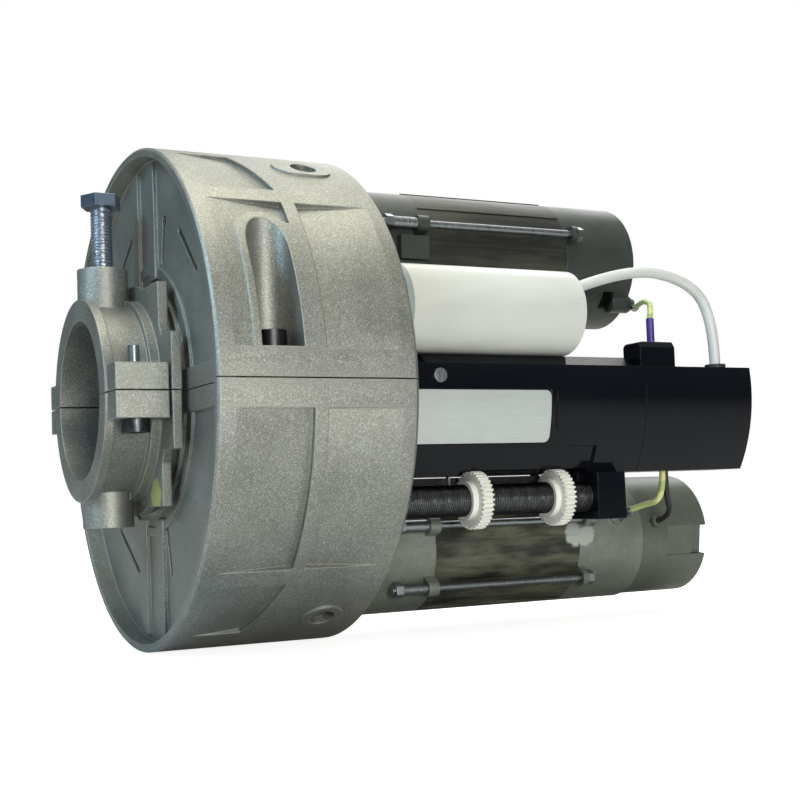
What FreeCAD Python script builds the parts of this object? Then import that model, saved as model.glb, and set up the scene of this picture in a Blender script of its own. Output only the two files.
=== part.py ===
import FreeCAD, Part
import math
import os
import re
import Sketcher

# Sizes in millimetres and degrees. X runs along the shutter shaft, from the clamp to the motors.
SIZES = {
    # Shutter shaft and clamp collar
    "shaft_radius": 38, "collar_start": -26.5, "collar_end": -0.5, "collar_rim_radius": 48,
    "collar_band_radius": 45, "collar_rim_width": 4.5, "parting_gap": 0.6,
    "ear_reach": 61.5, "ear_height": 12.2, "ear_inset": 1.0,
    "clamp_screw_x": -14.5, "clamp_screw_y": 52.5, "clamp_screw_radius": 4, "clamp_tip_radius": 2.6,
    "clamp_shank_top": 12.8, "clamp_tip_top": 20.4,
    "clamp_head_radius": 6.5, "clamp_head_height": 6, "socket_radius": 3.2, "socket_depth": 4,
    "boss_x": -13.5, "boss_radius": 12, "boss_top": 62.8, "boss_bottom": 60.3,
    "lock_bolt_radius": 4.7, "lock_bolt_tip": 43, "lock_bolt_head": 93, "lock_head_height": 5.8,
    "lock_head_radius": 9.7, "screw_fit": 0.25,
    # Hub of the gearbox body
    "hub_flange_start": -0.5, "hub_flange_end": 4, "hub_flange_radius": 55, "hub_wing_reach": 62.9,
    "hub_wing_height": 26, "hub_plate_reach": 45, "hub_plate_height": 51,
    "neck_radius": 50, "wall_start": 37, "wall_end": 43, "wall_radius": 90,
    # Crown
    "crown_radius": 120, "crown_width": 92.4, "rim_inner_radius": 116, "web_start": 9, "web_end": 14,
    "web_bore": 51, "ring_start": 46, "ring_end": 60, "ring_root_radius": 102, "rim_bore": 113,
    "guide_rib_start": 76, "guide_rib_end": 79.4, "guide_rib_radius": 108.5,
    "lip_start": 90.6, "lip_radius": 108.5, "bevel": 2.0,
    "pocket_start": 20, "pocket_end": 39, "pocket_ledge": 13, "pocket_top": 62,
    "pocket_wall": 2.4, "crown_screw_x": 29.5, "crown_screw_y": 106, "crown_screw_radius": 4,
    "crown_screw_length": 26, "crown_head_radius": 6.5, "crown_head_height": 8,
    "oval_x": 66.3, "oval_boss_x": 65.3, "oval_angle": 59.5, "oval_radius": 10, "oval_stretch": 9,
    "oval_height": 0.8, "oval_hole": 6.2, "round_x": 68.5, "round_angle": 60,
    "hub_ring_radius": 54.5, "hub_ring_step": 1.6,
    "ridge_radius": 65, "ridge_inner_radius": 61, "ridge_step": 1.2,
    "flange_inner": 54, "flange_outer": 98, "flange_half": 9.7, "flange_step": 2.0,
    "rib_inner": 57, "rib_outer": 113, "rib_y": -13, "rib_half": 4.6, "rib_step": 1.8,
    "mid_rib_start": 42.8, "mid_rib_end": 48.8,
    "surround_start": 16.7, "surround_angle": 31.8, "surround_radius": 13,
    "surround_top": 63, "surround_right_top": 69,
    "crest_low": 46.5, "crest_high": 66, "crest_end": 32.7, "crest_angle": 56.25,
    "land_start": 49, "land_end": 84, "land_step": 3,
    "panel_low": 6, "panel_high": 42, "panel_left": 7.8,
    "slot_half": 1.5, "key_radius": 3,
    "slot_a_y_from": -28, "slot_a_z_from": 82.4, "slot_a_y_to": -23.6, "slot_a_z_to": 64.5,
    "slot_b_y_from": -49.9, "slot_b_z_from": 74, "slot_b_y_to": -71.7, "slot_b_z_to": 52.4,
    "slot_c_y_from": 27, "slot_c_z_from": 83.4, "slot_c_y_to": 45.6, "slot_c_z_to": 71.2,
    "slot_d_y_from": 60.1, "slot_d_z_from": -62.8, "slot_d_y_to": 28.6, "slot_d_z_to": -82.7,
    "slot_e_y_from": -20, "slot_e_z_from": -62, "slot_e_y_to": -25.3, "slot_e_z_to": -82.2,
    # Gear train
    "ring_teeth": 66, "final_teeth": 11, "ring_module": 3, "slow_teeth": 44, "slow_pinion_teeth": 10,
    "slow_module": 1.25, "fast_teeth": 50, "rotor_pinion_teeth": 9, "fast_module": 1,
    "tooth_share": 0.36, "addendum": 0.6, "dedendum": 1.0, "flank": 0.36,
    "final_centre": 82.5, "final_angle": 44.51, "mid_centre": 80, "mid_angle": 68.42,
    "gear_shaft_radius": 5, "running_fit": 0.05, "bush_radius": 7,
    "slow_start": 62, "slow_end": 69, "slow_pinion_start": 61.5, "slow_pinion_end": 70.2,
    "fast_start": 71.5, "fast_end": 75.5, "rotor_pinion_start": 70.8, "rotor_pinion_end": 77,
    # Motor plate and crown bearing
    "plate_start": 79.4, "plate_end": 92, "plate_radius": 104, "plate_bore": 39, "plate_screw_x": 44,
    "plate_screw_radius": 2.5, "plate_head_radius": 4.25, "plate_head_height": 5,
    "roller_radius": 4.2, "roller_centre": 108.5, "roller_start": 80.2, "roller_end": 90.2,
    "cage_thickness": 2.4, "roller_count": 36,
    # Motors
    "motor_offset": 76.5, "motor_radius": 34, "bell_wall": 3, "front_bell_end": 145,
    "front_wall": 9, "bearing_radius": 15, "bearing_width": 7,
    "stator_start": 145, "stator_end": 233, "stator_bore": 19.2, "winding_outer": 29,
    "winding_inner": 21, "winding_length": 9, "upper_bell_end": 277, "lower_bell_end": 275,
    "rear_wall": 10, "window_start": 259.5, "window_end": 266.5,
    "rotor_core_radius": 18.6, "rotor_core_start": 152, "rotor_core_end": 226,
    "rotor_shaft_radius": 6, "tie_radius": 38.2, "tie_bolt_radius": 2, "tie_start": 121,
    "tie_end": 240, "tie_nut_radius": 4.1, "tie_nut_width": 4, "tie_head_width": 3.6,
    "spacer_radius": 3.1, "spacer_end": 139, "ear_radius": 4.3,
    "side_block_start": 129, "side_block_reach": 39, "mount_screw_circle": 22,
    "mount_screw_radius": 3, "mount_head_radius": 5, "mount_head_start": 80, "mount_head_height": 4,
    # Brake
    "brake_end": 320, "brake_radius": 33, "brake_wall": 2.5, "magnet_start": 275, "magnet_end": 292,
    "magnet_radius": 29.5, "armature_start": 292.8, "armature_end": 296.8, "armature_radius": 29,
    "disc_start": 297.2, "disc_end": 302.4, "disc_radius": 23.5, "pad_start": 302.7, "pad_end": 306,
    "notch_start": 293, "notch_depth": 1.7, "notch_deep_start": 311, "notch_floor": 27.5,
    "notch_half": 8, "notch_wall": 2, "notch_angle": 6,
    "brake_screw_radius": 2, "brake_screw_circle": 26.3, "spring_radius": 2.2, "spring_gap": 0.65,
    # Switch box
    "box_start": 108, "box_end": 315, "box_radius": 80, "box_top": 12, "box_bottom": -41.5,
    "box_inner": 43, "box_wall": 2.5, "box_seam": 60, "box_split": 245, "seam_gap": 0.3,
    "recess_start": 145.5, "recess_end": 216.5, "recess_top": -28, "recess_depth": 1.5,
    "label_start": 111, "label_end": 187, "label_top": -0.8, "label_bottom": -26,
    "plate_thickness": 0.5, "cover_screw_x": 124.4, "cover_screw_z": 5.9,
    "deck_start": 119, "deck_end": 239, "deck_top": 17.1,
    "deck_front": 78, "deck_edge": 70.5, "deck_back": 50,
    "terminal_start": 244, "terminal_end": 266, "terminal_height": 13, "terminal_front": 78,
    "terminal_back": 64, "grommet_x": 299.6, "grommet_y": 70, "grommet_radius": 5.4,
    "grommet_height": 2.4,
    # Capacitor
    "capacitor_start": 104, "capacitor_end": 203, "capacitor_radius": 21.3, "capacitor_y": 69,
    "capacitor_z": 38.7, "capacitor_cap_width": 3.2, "cord_radius": 2.85,
    "gland_x": 201, "gland_z": 48.4, "gland_angle": 20, "gland_length": 7, "gland_radius": 4.2,
    # Limit spindle
    "spindle_y": 63, "spindle_z": 53.3, "spindle_radius": 7.5, "spindle_start": 94,
    "spindle_end": 222, "nut_radius": 14.2, "nut_root_radius": 12.6, "nut_width": 5.9,
    "nut_teeth": 36, "nut_hub_radius": 9.5, "nut_hub_width": 3, "nut_a_start": 148,
    "nut_b_start": 195.6, "bracket_start": 216, "bracket_end": 233, "lever_thickness": 0.8,
    "lever_a_x": 142.6, "lever_b_x": 213.0, "lever_y": 54.2, "lever_width": 3, "lever_tip": -49,
    "lever_pivot": -37, "lock_bar_start": 112, "lock_bar_end": 205, "lock_bar_y": 48.6,
    "lock_bar_z": -43.6, "lock_pin_radius": 1.2, "bracket_bottom": -65,
    # Small fittings, wires and their ends
    "cover_screw_shank": 1.6, "cover_screw_head_radius": 3.4, "supply_y": 68, "supply_z": -16,
    "supply_radius": 6.5, "pillar_radius": 5, "pillar_y": 52, "pillar_high": -2, "pillar_low": -28,
    "saddle_start": 150, "saddle_end": 170, "saddle_front": 60, "saddle_back": 53, "saddle_top": 25.5,
    "wire_radius": 2.0, "wire_x": 259, "wire_y": 68,
    "sleeve_top": 38.2, "earth_radius": 1.5, "tag_radius": 4.4, "tag_thickness": 1.2, "tag_bore": 2.1,
    "tag_screw_radius": 2, "tag_head_radius": 3.4, "tag_head_height": 2.4, "crimp_radius": 1.9,
    "crimp_length": 2.6, "upper_tag_angle": -43, "upper_tag_circle": 34.6, "lower_tag_x": 258.5,
    "lower_tag_angle": 20, "lower_tag_height": 36.2, "lower_crimp_reach": 8, "lower_crimp_length": 1.8,
    "upper_wire_x": 279.2, "upper_wire_y": 31.5, "upper_wire_z": 50.5,
    "earth_first_x": 276.6, "earth_first_y": 42, "earth_first_z": 52.5,
    "earth_second_x": 266, "earth_second_y": 57, "earth_second_z": 52, "earth_third_z": 49.5,
    "lead_first_x": 246, "lead_second_x": 285.5, "lead_second_y": 69.4, "lead_second_z": 59,
    "lead_third_x": 302, "lead_third_y": 70, "lead_third_z": 39.5,
    "brake_cord_radius": 1.5, "brake_gland_x": 284, "brake_gland_angle": 13, "brake_gland_radius": 3.2,
    "brake_gland_reach": 37, "brake_first_run": 12, "brake_cord_x": 277.5, "brake_cord_y": 52,
    "brake_turn_z": -54.5, "lower_wire_radius": 1.65, "lower_wire_x": 271.5, "lower_wire_y": 57,
    "lower_wire_first_x": 267.4, "lower_wire_first_y": 45.6, "lower_wire_first_z": -59,
    "lower_wire_second_x": 270.5, "lower_wire_second_y": 54, "lower_wire_second_z": -57.5,
    "lower_wire_turn_z": -48,
}

doc = FreeCAD.newDocument("RollerShutterMotor")
dims = doc.addObject("Spreadsheet::Sheet", "Dims")
for row, (alias, value) in enumerate(SIZES.items(), start=1):
    dims.set("A%d" % row, alias)
    dims.set("B%d" % row, str(value))
    dims.setAlias("B%d" % row, alias)
doc.recompute()

VECTOR = FreeCAD.Vector
ALONG_X = FreeCAD.Rotation(VECTOR(0, 1, 0), 90)
ALONG_Y = FreeCAD.Rotation(VECTOR(1, 0, 0), -90)
UPRIGHT = FreeCAD.Rotation()
WORD = re.compile(r"[a-z][a-z0-9_]*")
FUNCTIONS = {"sin", "cos", "tan", "sqrt", "deg", "pi"}
NODES = {}


def link(text):
    """Formula in which each size name points at the sheet."""
    return WORD.sub(lambda m: m.group() if m.group() in FUNCTIONS else "Dims." + m.group(), str(text))


def size(name):
    """Present value of one size."""
    return float(getattr(dims, name))


def bind(item, field, text):
    item.setExpression(field, link(text))


def place(item, x="0", y="0", z="0", turn=UPRIGHT):
    item.Placement = FreeCAD.Placement(VECTOR(0, 0, 0), turn)
    for axis, text in zip("xyz", (x, y, z)):
        bind(item, ".Placement.Base." + axis, text)
    return item


def cylinder(name, radius, start, end, y="0", z="0"):
    """Round bar along X."""
    item = doc.addObject("Part::Cylinder", name)
    bind(item, "Radius", radius)
    bind(item, "Height", "(%s) - (%s)" % (end, start))
    return place(item, start, y, z, ALONG_X)


def upright(name, radius, bottom, top, x, y):
    """Round bar along Z."""
    item = doc.addObject("Part::Cylinder", name)
    bind(item, "Radius", radius)
    bind(item, "Height", "(%s) - (%s)" % (top, bottom))
    return place(item, x, y, bottom)


def crosswise(name, radius, start, end, x, z):
    """Round bar along Y."""
    item = doc.addObject("Part::Cylinder", name)
    bind(item, "Radius", radius)
    bind(item, "Height", "(%s) - (%s)" % (end, start))
    return place(item, x, start, z, ALONG_Y)


def block(name, x, y, z):
    """Box between pairs of limits."""
    item = doc.addObject("Part::Box", name)
    for field, (low, high) in zip(("Length", "Width", "Height"), (x, y, z)):
        bind(item, field, "(%s) - (%s)" % (high, low))
    return place(item, x[0], y[0], z[0])


def join(name, items):
    item = doc.addObject("Part::MultiFuse", name)
    item.Shapes = list(items)
    return item


def take(name, base, tools):
    """Base with every tool removed."""
    item = doc.addObject("Part::Cut", name)
    item.Base = base
    item.Tool = tools[0] if len(tools) == 1 else join(name + "_tools", tools)
    return item


def overlap(name, items):
    item = doc.addObject("Part::MultiCommon", name)
    item.Shapes = list(items)
    return item


def group(name, items):
    """Separate solids kept as one named set."""
    item = doc.addObject("Part::Compound", name)
    item.Links = list(items)
    return item


def ring(name, outer, inner, start, end, y="0", z="0"):
    solid = cylinder(name + "_solid", outer, start, end, y, z)
    hole = cylinder(name + "_hole", inner, "(%s) - 1" % start, "(%s) + 1" % end, y, z)
    return take(name, solid, [hole])


def hexagon(name, radius, start, end, y, z):
    """Six-sided prism along X, sized over its corners."""
    item = doc.addObject("Part::Prism", name)
    item.Polygon = 6
    bind(item, "Circumradius", radius)
    bind(item, "Height", "(%s) - (%s)" % (end, start))
    return place(item, start, y, z, ALONG_X)


def hexagon_upright(name, radius, bottom, top, x, y):
    item = doc.addObject("Part::Prism", name)
    item.Polygon = 6
    bind(item, "Circumradius", radius)
    bind(item, "Height", "(%s) - (%s)" % (top, bottom))
    return place(item, x, y, bottom)


def plane_of(body, role):
    return [item for item in body.Origin.OriginFeatures if item.Role == role][0]


def outline(body, name, role, points):
    """Closed polygon whose corners are formulas."""
    sketch = body.newObject("Sketcher::SketchObject", name)
    sketch.AttachmentSupport = [(plane_of(body, role), "")]
    sketch.MapMode = "FlatFace"
    count = len(points)
    spread = [2 * math.pi * n / count for n in range(count)]
    start = [VECTOR(20 * math.cos(a), 20 * math.sin(a), 0) for a in spread]
    for n in range(count):
        sketch.addGeometry(Part.LineSegment(start[n], start[(n + 1) % count]), False)
    for n in range(count):
        sketch.addConstraint(Sketcher.Constraint("Coincident", n, 2, (n + 1) % count, 1))
    for n, corner in enumerate(points):
        for kind, text, value in zip(("DistanceX", "DistanceY"), corner, start[n]):
            number = sketch.addConstraint(Sketcher.Constraint(kind, n, 1, float(value)))
            sketch.setExpression("Constraints[%d]" % number, link(text))
    return sketch


def lathe(name, points, angle="360"):
    """Profile of (x, radius) corners turned round the X axis."""
    body = doc.addObject("PartDesign::Body", name)
    sketch = outline(body, name + "_profile", "XY_Plane", points)
    turned = body.newObject("PartDesign::Revolution", name + "_turned")
    turned.Profile = (sketch, [""])
    turned.ReferenceAxis = (sketch, ["H_Axis"])
    bind(turned, "Angle", angle)
    return body


def slab(name, points, start, end):
    """Polygon of (y, z) corners drawn out along X."""
    body = doc.addObject("PartDesign::Body", name)
    sketch = outline(body, name + "_profile", "YZ_Plane", points)
    pad = body.newObject("PartDesign::Pad", name + "_pad")
    pad.Profile = (sketch, [""])
    bind(pad, "Length", "(%s) - (%s)" % (end, start))
    bind(body, ".Placement.Base.x", start)
    return body


def toothed(name, teeth, module, start, end, inward=False, phase=0.0):
    """Straight-flanked teeth on a blank, round the X axis."""
    sign = -1 if inward else 1
    pitch_radius = "%s * %s / 2" % (module, teeth)
    half = "tooth_share * pi * %s / 2" % module
    tip = "%s + %d * addendum * %s" % (pitch_radius, sign, module)
    root = "%s - %d * (dedendum + 0.15) * %s" % (pitch_radius, sign, module)
    tip_half = "%s - flank * addendum * %s" % (half, module)
    root_half = "%s + flank * (dedendum + 0.15) * %s" % (half, module)
    body = doc.addObject("PartDesign::Body", name)
    corners = [(root, "-(%s)" % root_half), (tip, "-(%s)" % tip_half), (tip, tip_half), (root, root_half)]
    sketch = outline(body, name + "_tooth", "YZ_Plane", corners)
    pad = body.newObject("PartDesign::Pad", name + "_pad")
    pad.Profile = (sketch, [""])
    bind(pad, "Length", "(%s) - (%s)" % (end, start))
    pattern = body.newObject("PartDesign::PolarPattern", name + "_pattern")
    pattern.Originals = [pad]
    pattern.Axis = (sketch, ["N_Axis"])
    pattern.Angle = 360
    bind(pattern, "Occurrences", teeth)
    body.Tip = pattern
    body.Placement = FreeCAD.Placement(VECTOR(0, 0, 0), FreeCAD.Rotation(VECTOR(1, 0, 0), phase))
    bind(body, ".Placement.Base.x", start)
    return body


def show(node, item):
    """Name a finished piece for the parts folder."""
    item.Label = node
    NODES[node] = item
    return item


def radial_block(name, x, radius, angle, half_width, centre="0"):
    """Box standing outward from an X axis, at an angle above the near side."""
    item = doc.addObject("Part::Box", name)
    bind(item, "Length", "(%s) - (%s)" % (x[1], x[0]))
    bind(item, "Width", "2 * (%s)" % half_width)
    bind(item, "Height", "(%s) - (%s)" % (radius[1], radius[0]))
    turn = "(%s) * 1deg" % angle
    y = "-(%s) * sin(%s) - (%s) * cos(%s)" % (half_width, turn, radius[0], turn)
    z = "%s - (%s) * cos(%s) + (%s) * sin(%s)" % (centre, half_width, turn, radius[0], turn)
    place(item, x[0], y, z, FreeCAD.Rotation(VECTOR(1, 0, 0), 90 - angle_value(angle)))
    return item


def radial_bar(name, bar_radius, radius, x, angle, centre="0"):
    """Round bar standing outward from an X axis."""
    item = doc.addObject("Part::Cylinder", name)
    bind(item, "Radius", bar_radius)
    bind(item, "Height", "(%s) - (%s)" % (radius[1], radius[0]))
    turn = "(%s) * 1deg" % angle
    y = "-(%s) * cos(%s)" % (radius[0], turn)
    z = "%s + (%s) * sin(%s)" % (centre, radius[0], turn)
    return place(item, x, y, z, FreeCAD.Rotation(VECTOR(1, 0, 0), 90 - angle_value(angle)))


def angle_value(angle):
    """Angle in degrees, from a number, a size name or a size name with a sign and an offset."""
    if isinstance(angle, (int, float)):
        return angle
    sign, name, offset = re.fullmatch(r"(-?)([a-z_]+)([+-][0-9.]+)?", angle.replace(" ", "")).groups()
    return (-1 if sign else 1) * size(name) + float(offset or 0)


def capsule(name, half, slot, start, end):
    """Round-ended slot across the YZ plane, between two named points."""
    y1, z1, y2, z2 = ["%s_%s" % (slot, key) for key in ("y_from", "z_from", "y_to", "z_to")]
    reach = "sqrt((%s - %s)^2 + (%s - %s)^2)" % (y2, y1, z2, z1)
    off_y = "(%s - %s) / %s * %s" % (z1, z2, reach, half)
    off_z = "(%s - %s) / %s * %s" % (y2, y1, reach, half)
    corners = []
    for y, z, sign in ((y1, z1, "+"), (y2, z2, "+"), (y2, z2, "-"), (y1, z1, "-")):
        corners.append(("%s %s %s" % (y, sign, off_y), "%s %s %s" % (z, sign, off_z)))
    ends = [cylinder(name + "_end_%d" % n, half, start, end, y, z) for n, (y, z) in
            enumerate(((y1, z1), (y2, z2)))]
    return join(name, [slab(name + "_middle", corners, start, end)] + ends)


NEAR_FAR = (-1, 1)

# Gearbox body, with the upper half of the shaft collar
collar_points = [
    ("collar_start", "shaft_radius"), ("collar_start", "collar_rim_radius"),
    ("collar_start + collar_rim_width", "collar_rim_radius"),
    ("collar_start + collar_rim_width", "collar_band_radius"),
    ("collar_end - collar_rim_width", "collar_band_radius"),
    ("collar_end - collar_rim_width", "collar_rim_radius"), ("collar_end", "collar_rim_radius"),
    ("collar_end", "hub_flange_radius"), ("hub_flange_end", "hub_flange_radius"),
    ("hub_flange_end", "shaft_radius"),
]


def collar_half(name, low, high, boss_limit, sign):
    """Half of the collar with its ears, hub flange, wings and bolt boss."""
    ears = block(name + "_ears", ("collar_start + ear_inset", "collar_end - ear_inset"),
                 ("-ear_reach", "ear_reach"), ("-ear_height", "ear_height"))
    wings = block(name + "_wings", ("hub_flange_start", "hub_flange_end"),
                  ("-hub_wing_reach", "hub_wing_reach"), ("-hub_wing_height", "hub_wing_height"))
    plate = block(name + "_plate", ("hub_flange_start", "hub_flange_end"),
                  ("-hub_plate_reach", "hub_plate_reach"), ("-hub_plate_height", "hub_plate_height"))
    boss_limits = ("collar_band_radius - 4", boss_limit) if sign > 0 else (
        "-%s" % boss_limit, "4 - collar_band_radius")
    boss = upright(name + "_boss", "boss_radius", boss_limits[0], boss_limits[1], "boss_x", "0")
    whole = join(name + "_whole", [lathe(name + "_turned", collar_points), ears, wings, plate,
                                    boss])
    half = block(name + "_half", ("-100", "hub_flange_end"), ("-100", "100"), (low, high))
    bore = cylinder(name + "_bore", "shaft_radius", "-100", "100")
    hole = upright(name + "_bolt_hole", "lock_bolt_radius + screw_fit", low, high, "boss_x", "0")
    screws = [upright(name + "_screw_hole_%d" % n, "clamp_screw_radius + screw_fit", "-100", "100",
                      "clamp_screw_x", "%d * clamp_screw_y" % side) for n, side in enumerate(NEAR_FAR)]
    solid = overlap(name + "_kept", [whole, half])
    return take(name + "_cut", solid, [bore, hole] + screws)


upper_collar = collar_half("upper_collar", "parting_gap / 2", "100", "boss_top", 1)
lower_collar = collar_half("lower_collar", "-100", "-parting_gap / 2", "boss_bottom", -1)
trim = block("cap_trim", ("hub_flange_end - 0.3", "50"), ("-100", "100"), ("-100", "100"))
show("clamp_cap", take("clamp_cap_solid", lower_collar, [trim]))

neck = cylinder("neck", "neck_radius", "hub_flange_end", "plate_start")
front_wall = cylinder("front_wall_disc", "wall_radius", "wall_start", "wall_end")
neck_and_wall = join("neck_and_wall", [neck, front_wall])


def shaft_centres():
    """Name, y and z of every shaft that runs in the gearbox walls."""
    rows = []
    for name, sign in (("upper", 1), ("lower", -1)):
        rows.append((name + "_final", "final_centre * cos(final_angle * 1deg)",
                     "%d * final_centre * sin(final_angle * 1deg)" % sign))
        rows.append((name + "_mid", "mid_centre * cos(mid_angle * 1deg)",
                     "%d * mid_centre * sin(mid_angle * 1deg)" % sign))
    rows.append(("spindle", "-spindle_y", "-spindle_z"))
    return rows


SHAFTS = shaft_centres()
HUB_SCREW_ANGLES = [30 + 60 * n for n in range(6)]


def hub_screw(name, radius, start, end, angle):
    return cylinder(name, radius, start, end, "plate_screw_x * cos(%ddeg)" % angle,
                    "plate_screw_x * sin(%ddeg)" % angle)


body_cuts = [cylinder("hub_bore", "shaft_radius", "hub_flange_end - 1", "100")]
for name, y, z in SHAFTS:
    body_cuts.append(cylinder(name + "_wall_hole", "bush_radius", "wall_start - 1", "wall_end + 1", y, z))
for angle in HUB_SCREW_ANGLES:
    body_cuts.append(hub_screw("hub_thread_%d" % angle, "plate_screw_radius + screw_fit",
                               "plate_start - 10", "plate_start + 1", angle))
body_rear = take("body_rear", neck_and_wall, body_cuts)
show("gearbox_body", join("gearbox_body_solid", [upper_collar, body_rear]))

clamp_screws = []
for n, side in enumerate(NEAR_FAR):
    y = "%d * clamp_screw_y" % side
    shank = upright("clamp_shank_%d" % n, "clamp_screw_radius", "-ear_height", "clamp_shank_top",
                    "clamp_screw_x", y)
    tip = upright("clamp_tip_%d" % n, "clamp_tip_radius", "clamp_shank_top", "clamp_tip_top",
                  "clamp_screw_x", y)
    head = upright("clamp_head_%d" % n, "clamp_head_radius", "-ear_height - clamp_head_height",
                   "-ear_height", "clamp_screw_x", y)
    socket = hexagon_upright("clamp_socket_%d" % n, "socket_radius * 1.1547",
                             "-ear_height - clamp_head_height - 1",
                             "-ear_height - clamp_head_height + socket_depth", "clamp_screw_x", y)
    clamp_screws.append(take("clamp_screw_%d" % n, join("clamp_screw_body_%d" % n, [shank, tip, head]),
                             [socket]))
show("clamp_screws", group("clamp_screws_set", clamp_screws))

lock_shank = upright("lock_shank", "lock_bolt_radius", "lock_bolt_tip", "lock_bolt_head", "boss_x", "0")
lock_head = hexagon_upright("lock_head", "lock_head_radius", "lock_bolt_head",
                            "lock_bolt_head + lock_head_height", "boss_x", "0")
show("shaft_lock_bolt", join("shaft_lock_bolt_solid", [lock_shank, lock_head]))

# Crown, built whole and then parted on the shaft axis
crown_points = [
    ("0", "rim_inner_radius"), ("0", "crown_radius - 1"), ("1", "crown_radius"),
    ("crown_width - bevel", "crown_radius"), ("crown_width", "crown_radius - bevel"),
    ("crown_width", "lip_radius"), ("lip_start", "lip_radius"), ("lip_start", "rim_bore"),
    ("guide_rib_end", "rim_bore"), ("guide_rib_end", "guide_rib_radius"),
    ("guide_rib_start", "guide_rib_radius"), ("guide_rib_start", "rim_bore"), ("ring_end", "rim_bore"),
    ("ring_end", "ring_root_radius"), ("ring_start", "ring_root_radius"), ("ring_start", "rim_bore"),
    ("web_end", "rim_bore"), ("web_end", "web_bore"), ("web_start", "web_bore"),
    ("web_start", "rim_inner_radius"),
]
RING_PITCH = 360 / size("ring_teeth")
crown_solids = [
    lathe("crown_turned", crown_points),
    toothed("ring_teeth_set", "ring_teeth", "ring_module", "ring_start", "ring_end", True,
            RING_PITCH / 2),
    ring("hub_ring", "hub_ring_radius", "web_bore", "web_start - hub_ring_step", "web_start"),
    ring("web_ridge", "ridge_radius", "ridge_inner_radius", "web_start - ridge_step", "web_start"),
]
crown_cuts = []
crown_screws = []
for n, side in enumerate(NEAR_FAR):
    y_limits = ("flange_inner", "flange_outer") if side > 0 else ("-flange_outer", "-flange_inner")
    crown_solids.append(block("web_flange_%d" % n, ("web_start - flange_step", "web_start"), y_limits,
                              ("-flange_half", "flange_half")))
    for low, high in (("rib_inner", "rib_outer"), ("-rib_outer", "-rib_inner")):
        crown_solids.append(block("web_rib_%d" % len(crown_solids), ("web_start - rib_step", "web_start"),
                                  ("%d * rib_y - rib_half" % -side, "%d * rib_y + rib_half" % -side),
                                  (low, high)))
    screw_y = "%d * crown_screw_y" % side
    column = upright("pocket_column_%d" % n, "(pocket_end - pocket_start) / 2 + pocket_wall",
                     "-pocket_ledge", "90", "crown_screw_x", screw_y)
    column_front = block("pocket_front_%d" % n,
                         ("pocket_start - pocket_wall", "pocket_end + pocket_wall"),
                         ("crown_screw_y", "crown_radius") if side > 0 else
                         ("-crown_radius", "-crown_screw_y"), ("-pocket_ledge", "90"))
    trimmed = overlap("pocket_wall_%d" % n, [
        join("pocket_wall_pair_%d" % n, [column, column_front]),
        cylinder("pocket_limit_%d" % n, "crown_radius", "0", "crown_width")])
    crown_solids.append(trimmed)
    crown_cuts.append(upright("pocket_bore_%d" % n, "(pocket_end - pocket_start) / 2", "pocket_ledge",
                              "130", "crown_screw_x", screw_y))
    mouth_y = ("crown_screw_y", "130") if side > 0 else ("-130", "-crown_screw_y")
    crown_cuts.append(block("pocket_mouth_%d" % n, ("pocket_start", "pocket_end"), mouth_y,
                            ("pocket_ledge", "pocket_top")))
    crown_cuts.append(upright("crown_screw_hole_%d" % n, "crown_screw_radius + screw_fit",
                              "-crown_screw_length + pocket_ledge - 1", "pocket_ledge + 1",
                              "crown_screw_x", screw_y))
    shank = upright("crown_shank_%d" % n, "crown_screw_radius", "pocket_ledge - crown_screw_length",
                    "pocket_ledge", "crown_screw_x", screw_y)
    head = upright("crown_head_%d" % n, "crown_head_radius", "pocket_ledge",
                   "pocket_ledge + crown_head_height", "crown_screw_x", screw_y)
    socket = hexagon_upright("crown_socket_%d" % n, "socket_radius * 1.1547",
                             "pocket_ledge + crown_head_height - socket_depth",
                             "pocket_ledge + crown_head_height + 1", "crown_screw_x", screw_y)
    crown_screws.append(take("crown_screw_%d" % n, join("crown_screw_body_%d" % n, [shank, head]), [socket]))
    # Long boss and round boss, turned half a circle from one side to the other
    turn = 0 if side < 0 else 180
    boss_floor = "rim_bore - 1.5"
    long_top = "crown_radius + oval_height"
    boss_ends = ("oval_boss_x - oval_stretch / 2", "oval_boss_x + oval_stretch / 2")
    for m, x in enumerate(boss_ends):
        crown_solids.append(radial_bar("long_boss_%d_%d" % (n, m), "oval_radius", (boss_floor, long_top), x,
                                       "oval_angle+%d" % turn))
    crown_solids.append(radial_block("long_boss_%d_middle" % n, boss_ends, (boss_floor, long_top),
                                     "oval_angle+%d" % turn, "oval_radius"))
    crown_solids.append(radial_bar("round_boss_%d" % n, "oval_radius", (boss_floor, long_top), "round_x",
                                   "-round_angle+%d" % turn))
    crown_cuts.append(radial_bar("long_boss_hole_%d" % n, "oval_hole", ("rim_bore - 8", "130"), "oval_x",
                                 "oval_angle+%d" % turn))
    crown_cuts.append(radial_bar("round_boss_hole_%d" % n, "oval_hole", ("rim_bore - 8", "130"), "round_x",
                                 "-round_angle+%d" % turn))
show("crown_screws", group("crown_screws_set", crown_screws))


def panel_cut(name, deep, shallow, low, high):
    """Panel in the outer face between two angles above the near side, sloping from deep to shallow."""
    sweep = lathe(name + "_wedge", [(deep, "crown_radius + 5"), (deep, "crown_radius - land_step"),
                                    (shallow, "crown_radius"), (shallow, "crown_radius + 5")])
    start, end = (deep, shallow) if size(deep) < size(shallow) else (shallow, deep)
    corners = [("0", "0")]
    steps = 6
    for n in range(steps + 1):
        turn = "((%s) + ((%s) - (%s)) * %d / %d) * 1deg" % (low, high, low, n, steps)
        corners.append(("-160 * cos(%s)" % turn, "160 * sin(%s)" % turn))
    sector = slab(name + "_sector", corners, "(%s) - 1" % start, "(%s) + 1" % end)
    return overlap(name, [sweep, sector])


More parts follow.
